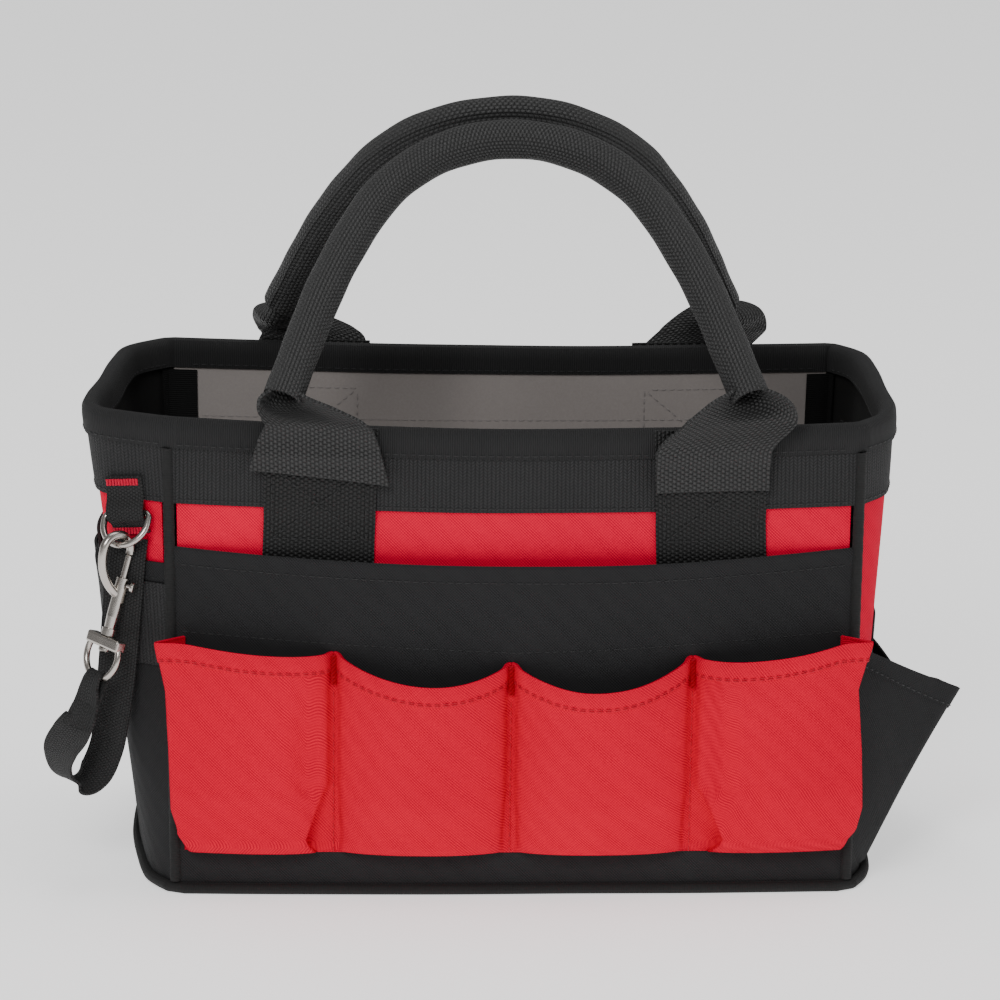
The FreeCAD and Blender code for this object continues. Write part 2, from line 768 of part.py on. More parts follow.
def d_ring():
    """Round wire bent to a D: a straight bar above, a half circle below."""
    half, leg, bend = size("ring_half_width"), size("ring_leg"), size("ring_corner")
    straight = half - bend
    arc = math.sqrt(0.5) * bend
    body = new_body("d_ring")
    spine = new_sketch(body, "d_ring_spine", "XY_Plane")
    bow_corner = bend - arc
    top_right = [V(straight, 0, 0), V(half - bow_corner, -bow_corner, 0), V(half, -bend, 0)]
    top_left = [mirrored(p) for p in reversed(top_right)]
    low_right, low_left = V(half, -leg, 0), V(-half, -leg, 0)
    middle = V(0, 0, 0)
    spine.addGeometry(Part.LineSegment(middle, top_right[0]), False)
    spine.addGeometry(Part.Arc(*top_right), False)
    spine.addGeometry(Part.LineSegment(top_right[2], low_right), False)
    spine.addGeometry(Part.Arc(low_right, V(0, -leg - half, 0), low_left), False)
    spine.addGeometry(Part.LineSegment(low_left, top_left[0]), False)
    spine.addGeometry(Part.Arc(*top_left), False)
    spine.addGeometry(Part.LineSegment(top_left[2], middle), False)
    bind(spine, "Radius", (3, half), "bow", "sizes.ring_half_width")
    section = new_sketch(body, "d_ring_section", "YZ_Plane")
    add_circle(section, 0, 0, size("ring_wire"), "wire", "sizes.ring_wire")
    doc.recompute()
    ring = body.newObject("PartDesign::AdditivePipe", "d_ring_wire")
    ring.Profile = section
    ring.Spine = spine
    tilt = FreeCAD.Rotation(V(1, 0, 0), -size("ring_tilt"))
    body.Placement = FreeCAD.Placement(BAR, TETHER_FRAME.multiply(tilt))


d_ring()

tacks = []
for up, out in ((14.5, 1.9), (-8.2, 0.9)):
    tack = Part.makeBox(size("tether_width") - 1, 2.6, 0.8)
    tack.translate(V(-size("tether_width") / 2 + 0.5, up - 1.3, out - BAR_LIFT + size("webbing") + 0.1))
    tack.Placement = FreeCAD.Placement(BAR, TETHER_FRAME).multiply(tack.Placement)
    tacks.append(tack)
add_solid("tether_bartacks", Part.makeCompound(tacks))

# ---------------------------------------------------------------- tether: snap hook

HOOK_LEAN, HOOK_PITCH, HOOK_TURN = 15, -8, 32
lean = FreeCAD.Rotation(V(1, 0, 0), HOOK_PITCH).multiply(FreeCAD.Rotation(V(0, 1, 0), HOOK_LEAN))
HOOK_FRAME = lean.multiply(FreeCAD.Rotation(UP, HOOK_TURN))
tilt = FreeCAD.Rotation(V(1, 0, 0), -size("ring_tilt"))
ring_low = V(-1.5, -size("ring_leg") - size("ring_half_width"), 0)
RING_CROSSING = BAR + TETHER_FRAME.multiply(tilt).multVec(ring_low)
crossing = V(-size("crown_radius"), 0, size("crown_height") + 2.2)
HOOK_FOOT = RING_CROSSING - HOOK_FRAME.multVec(crossing)
HOOK_PLACE = FreeCAD.Placement(HOOK_FOOT, HOOK_FRAME)
HOOK_AXIS = HOOK_FRAME.multVec(UP)


def revolve(body, name, profile):
    """Adds a turned shape to a body from its half outline, given as radius and height."""
    sketch = new_sketch(body, f"{name}_profile", "XZ_Plane")
    add_polygon(sketch, profile)
    doc.recompute()
    turned = body.newObject("PartDesign::Revolution", name)
    turned.Profile = sketch
    turned.ReferenceAxis = (sketch, ["V_Axis"])
    turned.Angle = 360
    doc.recompute()
    return turned


def hook_body():
    """Cast hook: swivel pin and collar, barrel with the bolt's bore and slot, shank and crown."""
    body = new_body("hook_body")
    pin, head, collar = size("pin_radius"), size("pin_head"), size("collar_radius")
    barrel, top = size("barrel_radius"), size("barrel_top")
    reach = size("eye_height") / 2
    profile = [
        (0, -reach - 1.9),
        (head - 0.6, -reach - 1.9),
        (head, -reach - 1.3),
        (head, -reach - 0.3),
        (pin, -reach - 0.3),
        (pin, reach + 0.4),
        (collar, reach + 0.4),
        (collar, 6.4),
        (barrel - 0.3, 6.6),
        (barrel, 12),
        (barrel, top),
        (0, top),
    ]
    revolve(body, "hook_barrel", profile)
    crown, high = size("crown_radius"), size("crown_height")
    shank = size("shank_arc")
    spine = new_sketch(body, "hook_spine", "XZ_Plane")
    left = -2 * crown
    centre = V(left + shank, high, 0)
    join_x = -1.5
    low = high - math.sqrt(shank**2 - (centre.x - join_x) ** 2)
    half_turn = (math.pi + math.atan2(high - low, centre.x - join_x)) / 2 + math.pi / 2
    middle = centre + V(math.cos(half_turn), -abs(math.sin(half_turn)), 0) * shank
    spine.addGeometry(Part.Arc(V(join_x, low, 0), middle, V(left, high, 0)), False)
    spine.addGeometry(Part.Arc(V(left, high, 0), V(-crown, high + crown, 0), V(0, high, 0)), False)
    spine.addGeometry(Part.LineSegment(V(0, high, 0), V(0, size("bolt_top") + 0.3, 0)), False)
    section = body.newObject("Sketcher::SketchObject", "hook_section")
    start = V(join_x, 0, low)
    along = V(-(centre.y - low), 0, centre.x - join_x)
    section.Placement = FreeCAD.Placement(start, FreeCAD.Rotation(UP, along))
    add_circle(section, 0, 0, size("hook_wire"), "wire", "sizes.hook_wire")
    doc.recompute()
    pipe = body.newObject("PartDesign::AdditivePipe", "hook_crown")
    pipe.Profile = section
    pipe.Spine = spine
    doc.recompute()
    before = pipe.Shape.Volume
    bore = new_sketch(body, "bolt_bore", "XZ_Plane")
    fit = size("bolt_radius") + size("bolt_fit")
    add_polygon(bore, [(0, 7), (fit, 7), (fit, top + 1.4), (0, top + 1.4)])
    doc.recompute()
    groove = body.newObject("PartDesign::Groove", "bolt_bore_cut")
    groove.Profile = bore
    groove.ReferenceAxis = (bore, ["V_Axis"])
    groove.Angle = 360
    doc.recompute()
    assert groove.Shape.Volume < before - 100
    slot = new_sketch(body, "thumb_slot", "YZ_Plane")
    wide = size("stud_radius") + 0.35
    high_end = size("stud_height") + 1.3
    low_end = size("stud_height") - size("bolt_travel") - 1.3
    add_polygon(slot, [(-wide, low_end), (wide, low_end), (wide, high_end), (-wide, high_end)])
    slot.AttachmentOffset = FreeCAD.Placement(V(0, 0, 0), FreeCAD.Rotation(V(0, 1, 0), size("thumb_turn")))
    doc.recompute()
    cut = body.newObject("PartDesign::Pocket", "thumb_slot_cut")
    cut.Profile = slot
    cut.Length = 6
    cut.Reversed = True
    doc.recompute()
    assert cut.Shape.Volume < groove.Shape.Volume - 10
    body.Placement = HOOK_PLACE


hook_body()


def bolt():
    """The spring bolt, with its nose against the hook's tip."""
    body = new_body("bolt")
    radius, low, high = size("bolt_radius"), size("bolt_bottom"), size("bolt_top")
    profile = [
        (0, low),
        (radius - 0.3, low),
        (radius, low + 0.3),
        (radius, high - 0.5),
        (radius - 0.5, high),
        (0, high),
    ]
    revolve(body, "bolt_rod", profile)
    body.Placement = HOOK_PLACE


bolt()


def thumb_stud():
    """The stud that stands out of the slot, with a round thumb plate on its end."""
    body = new_body("thumb_stud")
    sketch = new_sketch(body, "stud_section", "YZ_Plane")
    add_circle(sketch, 0, size("stud_height"), size("stud_radius"), "stem", "sizes.stud_radius")
    stem = body.newObject("PartDesign::Pad", "stud_stem")
    stem.Profile = sketch
    stem.Length = size("thumb_reach") - size("bolt_radius") + 0.5
    sketch.AttachmentOffset = FreeCAD.Placement(V(0, 0, size("bolt_radius") + 0.02), FreeCAD.Rotation())
    plate = new_sketch(body, "thumb_outline", "YZ_Plane")
    plate.AttachmentOffset = FreeCAD.Placement(V(0, 0, size("thumb_reach")), FreeCAD.Rotation())
    add_circle(plate, 0, size("stud_height"), size("thumb_radius"), "thumb", "sizes.thumb_radius")
    doc.recompute()
    thumb = body.newObject("PartDesign::Pad", "thumb_plate")
    thumb.Profile = plate
    thumb.Length = 1.6
    doc.recompute()
    rim = [
        f"Edge{i}"
        for i, edge in enumerate(thumb.Shape.Edges, start=1)
        if len(edge.Vertexes) == 1 and abs(edge.Vertexes[0].X - size("thumb_reach") - 1.6) < 0.01
    ]
    soft = body.newObject("PartDesign::Fillet", "thumb_edge")
    soft.Base = (thumb, rim)
    soft.Radius = 0.6
    turn = FreeCAD.Placement(V(0, 0, 0), FreeCAD.Rotation(UP, size("thumb_turn")))
    body.Placement = HOOK_PLACE.multiply(turn)


thumb_stud()


def bolt_spring():
    """The coil spring under the bolt."""
    low, high, coil, wire = 7.4, size("bolt_bottom") - 0.5, 1.0, 0.25
    pitch = 1.25
    helix = Part.makeHelix(pitch, high - low, coil)
    section = Part.Wire([Part.Circle(V(coil, 0, 0), V(0, 1, 0), wire).toShape()])
    spring = Part.Wire(helix.Edges).makePipeShell([section], True, True)
    lifted = FreeCAD.Placement(V(0, 0, low), FreeCAD.Rotation())
    add_solid("bolt_spring", spring).Placement = HOOK_PLACE.multiply(lifted)


bolt_spring()


def swivel_eye():
    """The eye under the hook: a cross bar with the pin's bore, and a round bow below it."""
    body = new_body("swivel_eye")
    long, deep, tall = size("eye_width"), size("eye_depth"), size("eye_height")
    sketch = new_sketch(body, "eye_bar_outline", "XY_Plane")
    sketch.AttachmentOffset = FreeCAD.Placement(V(0, 0, -tall / 2), FreeCAD.Rotation())
    x, y = long / 2, deep / 2
    add_polygon(sketch, [(-x, -y), (x, -y), (x, y), (-x, y)])
    pad = body.newObject("PartDesign::Pad", "eye_bar")
    pad.Profile = sketch
    pad.setExpression("Length", "sizes.eye_height")
    doc.recompute()
    fillet = body.newObject("PartDesign::Fillet", "eye_bar_edges")
    fillet.Base = (pad, [f"Edge{i}" for i in range(1, len(pad.Shape.Edges) + 1)])
    fillet.Radius = 1.2
    doc.recompute()
    wire = size("eye_wire")
    inset = long / 2 - wire
    spine = new_sketch(body, "eye_bow_spine", "XZ_Plane")
    spine.addGeometry(Part.Arc(V(inset, -1.5, 0), V(0, -size("eye_drop"), 0), V(-inset, -1.5, 0)), False)
    section = body.newObject("Sketcher::SketchObject", "eye_bow_section")
    reach = size("eye_drop") - 1.5
    radius = (inset**2 + reach**2) / (2 * reach)
    centre_z = -size("eye_drop") + radius
    along = V(-1.5 - centre_z, 0, -inset)
    section.Placement = FreeCAD.Placement(V(inset, 0, -1.5), FreeCAD.Rotation(UP, along))
    add_circle(section, 0, 0, wire, "wire", "sizes.eye_wire")
    doc.recompute()
    bow = body.newObject("PartDesign::AdditivePipe", "eye_bow")
    bow.Profile = section
    bow.Spine = spine
    doc.recompute()
    bore = new_sketch(body, "pin_bore", "XZ_Plane")
    fit = size("pin_radius") + size("bolt_fit")
    add_polygon(bore, [(0, -tall / 2 - 0.1), (fit, -tall / 2 - 0.1), (fit, tall), (0, tall)])
    doc.recompute()
    groove = body.newObject("PartDesign::Groove", "pin_bore_cut")
    groove.Profile = bore
    groove.ReferenceAxis = (bore, ["V_Axis"])
    groove.Angle = 360
    doc.recompute()
    assert groove.Shape.Volume < bow.Shape.Volume - 20
    body.Placement = FreeCAD.Placement(HOOK_FOOT, EYE_FRAME)


EYE_FRAME = lean.multiply(FreeCAD.Rotation(UP, -50))
swivel_eye()

# ---------------------------------------------------------------- tether: strap

EYE_LOW = HOOK_FOOT + EYE_FRAME.multVec(V(0, 0, -size("eye_drop")))
WRAP_ACROSS = EYE_FRAME.multVec(V(1, 0, 0))
WRAP_DOWN = V(-0.42, -0.18, -0.9)
WRAP_DOWN = (WRAP_DOWN - WRAP_ACROSS * WRAP_DOWN.dot(WRAP_ACROSS)).normalize()
WRAP_SIDE = WRAP_DOWN.cross(WRAP_ACROSS).normalize()

# The hanging strap: each station is x, how far it stands off the bag's front left facet, z, and the
# turn of its width about the vertical.
HANGING = [
    (-172.9, 1.5, 162.6, -26),
    (-174.3, 4.4, 152.0, -24),
    (-176.2, 6.8, 130.0, -24),
    (-178.2, 8.4, 105.0, -26),
    (-180.4, 9.0, 82.0, -34),
    (-183.5, 11.0, 63.0, -40),
    (-189.0, 15.0, 51.0, -42),
    (-197.0, 20.0, 45.6, -56),
    (-204.5, 25.0, 51.0, -60),
    (-208.0, 27.0, 62.0, -55),
    (-207.0, 26.0, 72.0, -52),
]
# The end, folded through the eye: distance below the eye's bow, distance to its side, width.
FOLDED = [
    (22, 1.1, 18.5),
    (12, 1.3, 15.0),
    (4.5, 3.4, 11.0),
    (0, 3.7, 9.5),
    (-3.2, 2.2, 9.0),
    (-4.2, 0, 9.0),
    (-3.2, -2.2, 9.0),
    (0, -3.7, 9.5),
    (4.5, -3.4, 11.0),
    (12, -1.3, 15.0),
    (24, -1.1, 18.5),
]


def strap_stations():
    """The strap's middle line, with its width and the direction of its width at each point."""
    stations = []
    for x, stand_off, z, turn in HANGING:
        across = V(math.cos(math.radians(turn)), math.sin(math.radians(turn)), 0)
        loop = outline(z, 0)
        front, shoulder = loop[0], loop[LEFT_FRONT_SHOULDER]
        share = (x - front.x) / (shoulder.x - front.x)
        facing = (front - shoulder).cross(UP).normalize()
        on_facet = front + (shoulder - front) * share
        y = on_facet.y + stand_off / facing.y
        stations.append((V(x, y, z), across, size("tether_width")))
    for below, aside, width in FOLDED:
        point = EYE_LOW + WRAP_DOWN * below + WRAP_SIDE * aside
        stations.append((point, WRAP_ACROSS, width))
    return stations


def tether_strap():
    stations = strap_stations()
    wires = []
    for i, (point, across, width) in enumerate(stations):
        before = stations[max(i - 1, 0)][0]
        after = stations[min(i + 1, len(stations) - 1)][0]
        along = (after - before).normalize()
        wide = (across - along * across.dot(along)).normalize() * (width / 2)
        thick = along.cross(wide).normalize() * (size("webbing") / 2)
        corners = [point - wide - thick, point + wide - thick, point + wide + thick, point - wide + thick]
        wires.append(Part.makePolygon([*corners, corners[0]]))
    return Part.makeLoft(wires, True, True)


add_solid("tether_strap", tether_strap())

# ---------------------------------------------------------------- check and write

doc.recompute()
for item in doc.Objects:
    state = [word for word in item.State if word in ("Invalid", "Error")]
    if state:
        raise RuntimeError(f"{item.Label} is {state}")
for part in parts:
    if part.Shape.isNull() or not part.Shape.isValid():
        raise RuntimeError(f"{part.Label} has no valid shape")

os.makedirs("parts", exist_ok=True)
for part in parts:
    part.Shape.exportStep(f"parts/{part.Label}.step")
print(len(parts), "sub-parts written")
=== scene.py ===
import json
import math

import bmesh
import bpy
import numpy as np
from mathutils import Matrix, Vector

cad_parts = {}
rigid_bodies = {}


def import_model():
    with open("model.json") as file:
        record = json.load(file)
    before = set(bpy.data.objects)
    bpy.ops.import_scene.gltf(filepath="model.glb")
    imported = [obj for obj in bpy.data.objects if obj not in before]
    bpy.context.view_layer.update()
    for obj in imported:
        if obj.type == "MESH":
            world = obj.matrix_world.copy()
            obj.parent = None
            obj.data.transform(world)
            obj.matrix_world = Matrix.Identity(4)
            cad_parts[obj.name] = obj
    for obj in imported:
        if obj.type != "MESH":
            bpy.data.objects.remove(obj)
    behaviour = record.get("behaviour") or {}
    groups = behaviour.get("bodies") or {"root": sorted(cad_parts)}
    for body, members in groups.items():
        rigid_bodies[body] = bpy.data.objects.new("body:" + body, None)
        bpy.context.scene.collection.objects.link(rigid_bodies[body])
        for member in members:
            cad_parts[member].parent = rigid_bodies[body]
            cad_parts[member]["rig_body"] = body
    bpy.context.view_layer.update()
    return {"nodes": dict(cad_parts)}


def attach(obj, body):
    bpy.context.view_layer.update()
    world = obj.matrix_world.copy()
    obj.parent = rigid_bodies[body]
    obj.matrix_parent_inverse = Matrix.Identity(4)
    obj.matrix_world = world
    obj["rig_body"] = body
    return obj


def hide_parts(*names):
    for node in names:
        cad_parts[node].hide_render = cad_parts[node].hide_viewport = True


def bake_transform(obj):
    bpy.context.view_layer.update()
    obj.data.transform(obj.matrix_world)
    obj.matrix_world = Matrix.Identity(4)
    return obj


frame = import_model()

# Garden tool bag. Lengths below are in millimetres and become metres as each mesh is made.
# +X to the right seen from the pocket side, -Y to the front, +Z up.

MM = 0.001
RIM = 218.0
LONG_WALLS = ("front", "back")
FACING = {"front": -1, "back": 1}

# ---- plan of the bag


def between(z, at_base, at_rim):
    return at_base + (at_rim - at_base) * np.asarray(z, float) / RIM


def half_width(z):
    return between(z, 152, 156)


def plan_points(z):
    """The twelve points round the bag at height z, anticlockwise from the front left corner."""
    half = half_width(z)
    front, front_middle = between(z, 86, 75), between(z, 89, 92)
    back, back_middle = between(z, 86, 77), between(z, 89, 67)
    left, right = between(z, 163, 193), between(z, 160, 170)
    slack = between(z, 0, 1)
    nothing = np.zeros_like(half)
    return [
        (-half, -front),
        (nothing, -front_middle),
        (half, -front),
        (right, -front + 17),
        (right + 4, nothing),
        (right, back - 17),
        (half, back),
        (nothing, back_middle),
        (-half, back),
        (-left + 15 * slack, back - 17),
        (-left - 4 + 11 * slack, nothing),
        (-left, -front + 17),
    ]


STEPS = np.linspace(0, 1, 1001)


def three_point_weights():
    t = STEPS
    return np.array([(1 - t) * (1 - 2 * t), 4 * t * (1 - t), t * (2 * t - 1)])


def rounded_weights(knots, spread=0.11):
    """Straight runs between knots, with the turns at them rounded off."""
    wide = np.linspace(-1, 2, 3001)
    share = np.eye(len(knots))
    before = share[0] - (share[1] - share[0]) * (1 + knots[0]) / (knots[1] - knots[0])
    after = share[-1] + (share[-1] - share[-2]) * (2 - knots[-1]) / (knots[-1] - knots[-2])
    table = np.stack([before, *share, after])
    size = int(spread * 1000) | 1
    rows = []
    for k in range(len(knots)):
        level = np.interp(wide, [-1, *knots, 2], table[:, k])
        for _ in range(2):
            level = np.convolve(level, np.ones(size) / size, "same")
        rows.append(level[1000:2001])
    return np.array(rows)


END_KNOTS = [0, 0.17, 0.5, 0.83, 1]
WALLS = {
    "front": ([0, 1, 2], three_point_weights()),
    "right": ([2, 3, 4, 5, 6], rounded_weights(END_KNOTS)),
    "back": ([6, 7, 8], three_point_weights()),
    "left": ([8, 9, 10, 11, 0], rounded_weights(END_KNOTS)),
}
PHASE = {"front": 0.4, "right": 1.9, "back": 3.1, "left": 4.7}


def wave(wall, t, z):
    """Slow unevenness of a cloth wall, shared by everything that lies on it."""
    phase = PHASE[wall]
    calm = np.sin(math.pi * np.clip(t, 0, 1))
    size = 1.0 if wall in LONG_WALLS else 1.5
    slow = np.sin(7.3 * t + 0.021 * z + phase) + 0.5 * np.sin(17 * t - 0.034 * z + 2 * phase)
    return size * calm * slow * (0.45 + 0.55 * z / RIM)


RIM_TILT = 0.0095


def rise(x, z):
    """The rim stands a little higher at its left end."""
    return -RIM_TILT * x * (z / RIM) ** 3


def wall_frame(wall, t, z):
    """Plan position and outward direction on a wall."""
    indices, table = WALLS[wall]
    points = [plan_points(z)[i] for i in indices]
    slopes = np.gradient(table, STEPS, axis=1)
    x = y = dx = dy = 0
    for (px, py), weight, slope in zip(points, table, slopes):
        w, s = np.interp(t, STEPS, weight), np.interp(t, STEPS, slope)
        x, y, dx, dy = x + w * px, y + w * py, dx + s * px, dy + s * py
    length = np.hypot(dx, dy)
    return x, y, dy / length, -dx / length


def on_wall(wall, t, z, out=0.0, still=False):
    """Points on a wall at share t along it and height z, standing out by out."""
    t, z = np.broadcast_arrays(np.asarray(t, float), np.asarray(z, float))
    x, y, nx, ny = wall_frame(wall, t, z)
    out = out + (0 if still else wave(wall, t, z))
    return np.stack([x + nx * out, y + ny * out, z + rise(x, z)], -1)


def corners_at(z):
    """The plan points at one height, as arrays."""
    return [np.array(point, float) for point in plan_points(z)]


def front_share(x, z):
    half = half_width(z)
    return (x + half) / (2 * half)


def wall_share(wall, x, z):
    share = front_share(x, z)
    return share if wall == "front" else 1 - share


def surface_by_share(wall, out):
    """A surface by share along a wall and height."""
    return lambda t, z: on_wall(wall, t, z, out(t, z) if callable(out) else out)


def surface_by_x(wall, out):
    """A surface by x and height on a long wall."""
    return lambda x, z: on_wall(wall, wall_share(wall, x, z), z, out(z) if callable(out) else out)


# ---- mesh helpers

REVERSED = [0, 3, 2, 1]


def unit(vectors):
    """The vectors scaled to a length of one."""
    return vectors / np.maximum(np.linalg.norm(vectors, axis=-1, keepdims=True), 1e-9)


def grid_normals(points):
    return unit(np.cross(np.gradient(points, axis=0), np.gradient(points, axis=1)))


def lengths_along(points, axis=0):
    step = np.linalg.norm(np.diff(points, axis=axis), axis=-1)
    zero = np.zeros_like(np.take(step, [0], axis))
    return np.concatenate([zero, np.cumsum(step, axis)], axis)


def read_at(distance, run, values):
    """Rows of three values, read at some distances when the rows lie at the distances in run."""
    return np.stack([np.interp(distance, run, values[:, k]) for k in range(3)], -1)


def resample(path, step):
    run = lengths_along(path)
    return read_at(np.linspace(0, run[-1], max(2, int(run[-1] / step))), run, path)


def quads(index):
    """Four-sided faces between the rows and columns of a grid of vertex numbers."""
    return np.stack([index[:-1, :-1], index[1:, :-1], index[1:, 1:], index[:-1, 1:]], -1).reshape(-1, 4)


def make_mesh(name, verts, faces, uvs, sharp=50):
    mesh = bpy.data.meshes.new(name)
    verts = np.asarray(verts, float) * MM
    faces = np.asarray(faces, np.int32)
    mesh.vertices.add(len(verts))
    mesh.vertices.foreach_set("co", verts.ravel())
    count, sides = faces.shape
    mesh.loops.add(count * sides)
    mesh.loops.foreach_set("vertex_index", faces.ravel())
    mesh.polygons.add(count)
    mesh.polygons.foreach_set("loop_start", np.arange(0, count * sides, sides, dtype=np.int32))
    mesh.polygons.foreach_set("use_smooth", np.full(count, True))
    mesh.update(calc_edges=True)
    layer = mesh.uv_layers.new(name="UVMap")
    layer.data.foreach_set("uv", np.asarray(uvs, np.float32)[faces.ravel()].ravel())
    mesh.validate()
    mesh.set_sharp_from_angle(angle=math.radians(sharp))
    obj = bpy.data.objects.new(name, mesh)
    bpy.context.scene.collection.objects.link(obj)
    return obj


def dress(obj, material, body, replaces):
    obj.data.materials.clear()
    obj.data.materials.append(material)
    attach(obj, body)
    if replaces:
        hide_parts(*replaces)
    return obj


def slab(name, points, thickness, material, body="bag", replaces=(), sharp=50):
    """A sheet of cloth from a grid on its outer face, with a back face and closed edges."""
    nu, nv = points.shape[:2]
    inner = points - grid_normals(points) * thickness
    along = lengths_along(points)
    along = along - along[nu // 2][None, :]
    uv = np.stack([along, lengths_along(points, 1)], -1).reshape(-1, 2)
    index = np.arange(nu * nv).reshape(nu, nv)
    border = np.concatenate([index[:, 0], index[-1, 1:], index[-2::-1, -1], index[0, -2:0:-1]])
    following = np.roll(border, -1)
    rim = np.stack([border, border + nu * nv, following + nu * nv, following], -1)
    faces = np.concatenate([quads(index), quads(index + nu * nv)[:, REVERSED], rim])
    verts = np.concatenate([points.reshape(-1, 3), inner.reshape(-1, 3)])
    obj = make_mesh(name, verts, faces, np.concatenate([uv, uv]), sharp)
    return dress(obj, material, body, replaces)


def tube(name, rings, material, body="bag", replaces=(), closed=False, sharp=60):
    """A skin over a row of closed rings; its ends meet when closed and have caps otherwise."""
    count, sides = rings.shape[:2]
    run = np.concatenate([rings, rings[:1]]) if closed else rings
    wide = np.concatenate([run, run[:, :1]], 1)
    along = lengths_along(run[:, 0])
    across = lengths_along(wide[count // 2])
    uv = np.stack(np.broadcast_arrays(across[None, :], along[:, None]), -1).reshape(-1, 2)
    index = np.arange(len(uv)).reshape(wide.shape[:2])
    faces = quads(index)[:, REVERSED]
    verts = wide.reshape(-1, 3)
    if not closed:
        for ring, order in ((index[0], [1, 0, 2, 2]), (index[-1], [0, 1, 2, 2])):
            hub = np.full(sides, len(verts))
            verts = np.concatenate([verts, verts[ring[:-1]].mean(0)[None]])
            uv = np.concatenate([uv, [[0, 0]]])
            faces = np.concatenate([faces, np.stack([ring[:-1], ring[1:], hub], -1)[:, order]])
    obj = make_mesh(name, verts, faces, uv, sharp)
    work = bmesh.new()
    work.from_mesh(obj.data)
    bmesh.ops.remove_doubles(work, verts=work.verts, dist=1e-7)
    bmesh.ops.recalc_face_normals(work, faces=work.faces)
    work.to_mesh(obj.data)
    work.free()
    obj.data.set_sharp_from_angle(angle=math.radians(sharp))
    return dress(obj, material, body, replaces)


def soft_noise(points, seed, scale):
    """Smooth noise from a few sine waves, the same on each run."""
    rng = np.random.default_rng(seed)
    total = np.zeros(points.shape[:-1])
    for _ in range(7):
        direction = rng.normal(size=3)
        direction /= np.linalg.norm(direction)
        pitch = scale * rng.uniform(0.6, 1.7)
        total += np.sin(points @ direction * 2 * math.pi / pitch + rng.uniform(0, 6.28))
    return total / 3.5


# ---- stitches

# A stitch is five rings of six points: share of its length, fullness and lift of each ring.
STITCH_RINGS = ((0, 0.25, -0.5), (0.14, 0.8, 0.25), (0.5, 1, 0.6), (0.86, 0.8, 0.25), (1, 0.25, -0.5))
STITCH_SIDES = 6
STITCH_SIZE = len(STITCH_RINGS) * STITCH_SIDES
STITCH_GRID = np.arange(STITCH_SIZE).reshape(-1, STITCH_SIDES)
STITCH_FACES = np.concatenate([
    quads(np.concatenate([STITCH_GRID, STITCH_GRID[:, :1]], 1)),
    [[0, 1, 2, 3], [0, 3, 4, 5], [24, 27, 26, 25], [24, 29, 28, 27]],
])
STITCHES = {}


def stitch_row(group, path, normal, length=2.9, gap=1.0, wide=0.62, high=0.34):
    """Adds a row of thread stitches that lie on a surface along a path."""
    normal = np.broadcast_to(np.asarray(normal, float), path.shape)
    run = lengths_along(path)
    starts = np.arange(gap / 2, run[-1] - length, length + gap)
    rings = []
    for share, fat, lift in STITCH_RINGS:
        at = starts + share * length
        here, out = read_at(at, run, path), unit(read_at(at, run, normal))
        side = np.cross(unit(read_at(at + 0.3, run, path) - read_at(at - 0.3, run, path)), out)
        ring = []
        for angle in 2 * math.pi * np.arange(STITCH_SIDES) / STITCH_SIDES:
            across = side * (math.cos(angle) * wide / 2 * fat)
            ring.append(here + across + out * (high * (lift + 0.55 * math.sin(angle) * fat)))
        rings.append(np.stack(ring, 1))
    block = np.stack(rings, 1)
    bases = STITCH_SIZE * np.arange(len(starts))
    uv = np.zeros((*block.shape[:3], 2))
    uv[..., 0] = starts[:, None, None] + np.linspace(0, length, len(STITCH_RINGS))[None, :, None]
    uv[..., 1] = np.arange(STITCH_SIDES) * 0.3
    faces = (STITCH_FACES[None] + bases[:, None, None]).reshape(-1, 4)
    STITCHES.setdefault(group, []).append((block.reshape(-1, 3), faces, uv.reshape(-1, 2)))


def sew(group, name, material, body="bag", replaces=()):
    """Makes one object from all the stitches of a group."""
    verts, faces, uvs = zip(*STITCHES[group])
    bases = np.cumsum([0] + [len(v) for v in verts[:-1]])
    faces = np.concatenate([f + base for f, base in zip(faces, bases)])
    obj = make_mesh(name, np.concatenate(verts), faces, np.concatenate(uvs))
    return dress(obj, material, body, replaces)


def sew_line(group, surface, start, end, steps=(0.5, 0.5), lift=0.0, behind=False, **look):
    """A stitch row on surface(a, b), from start to end in the surface's own coordinates."""
    start, end = np.array(start, float), np.array(end, float)
    a, b = (start + (end - start) * np.linspace(0, 1, 240)[:, None]).T
    da, db = steps
    across = surface(a + da, b) - surface(a - da, b)
    upward = surface(a, b + db) - surface(a, b - db)
    normal = unit(np.cross(across, upward)) * (-1 if behind else 1)
    stitch_row(group, surface(a, b) + normal * lift, normal, **look)


def box_stitch(group, surface, left, right, low, high, **look):
    """A sewn box with a cross in it."""
    corners = [(left, low), (right, low), (right, high), (left, high)]
    for one, other in zip(corners, corners[1:] + corners[:1]):
        sew_line(group, surface, one, other, **look)
    sew_line(group, surface, corners[0], corners[2], **look)
    sew_line(group, surface, corners[1], corners[3], **look)


# ---- materials




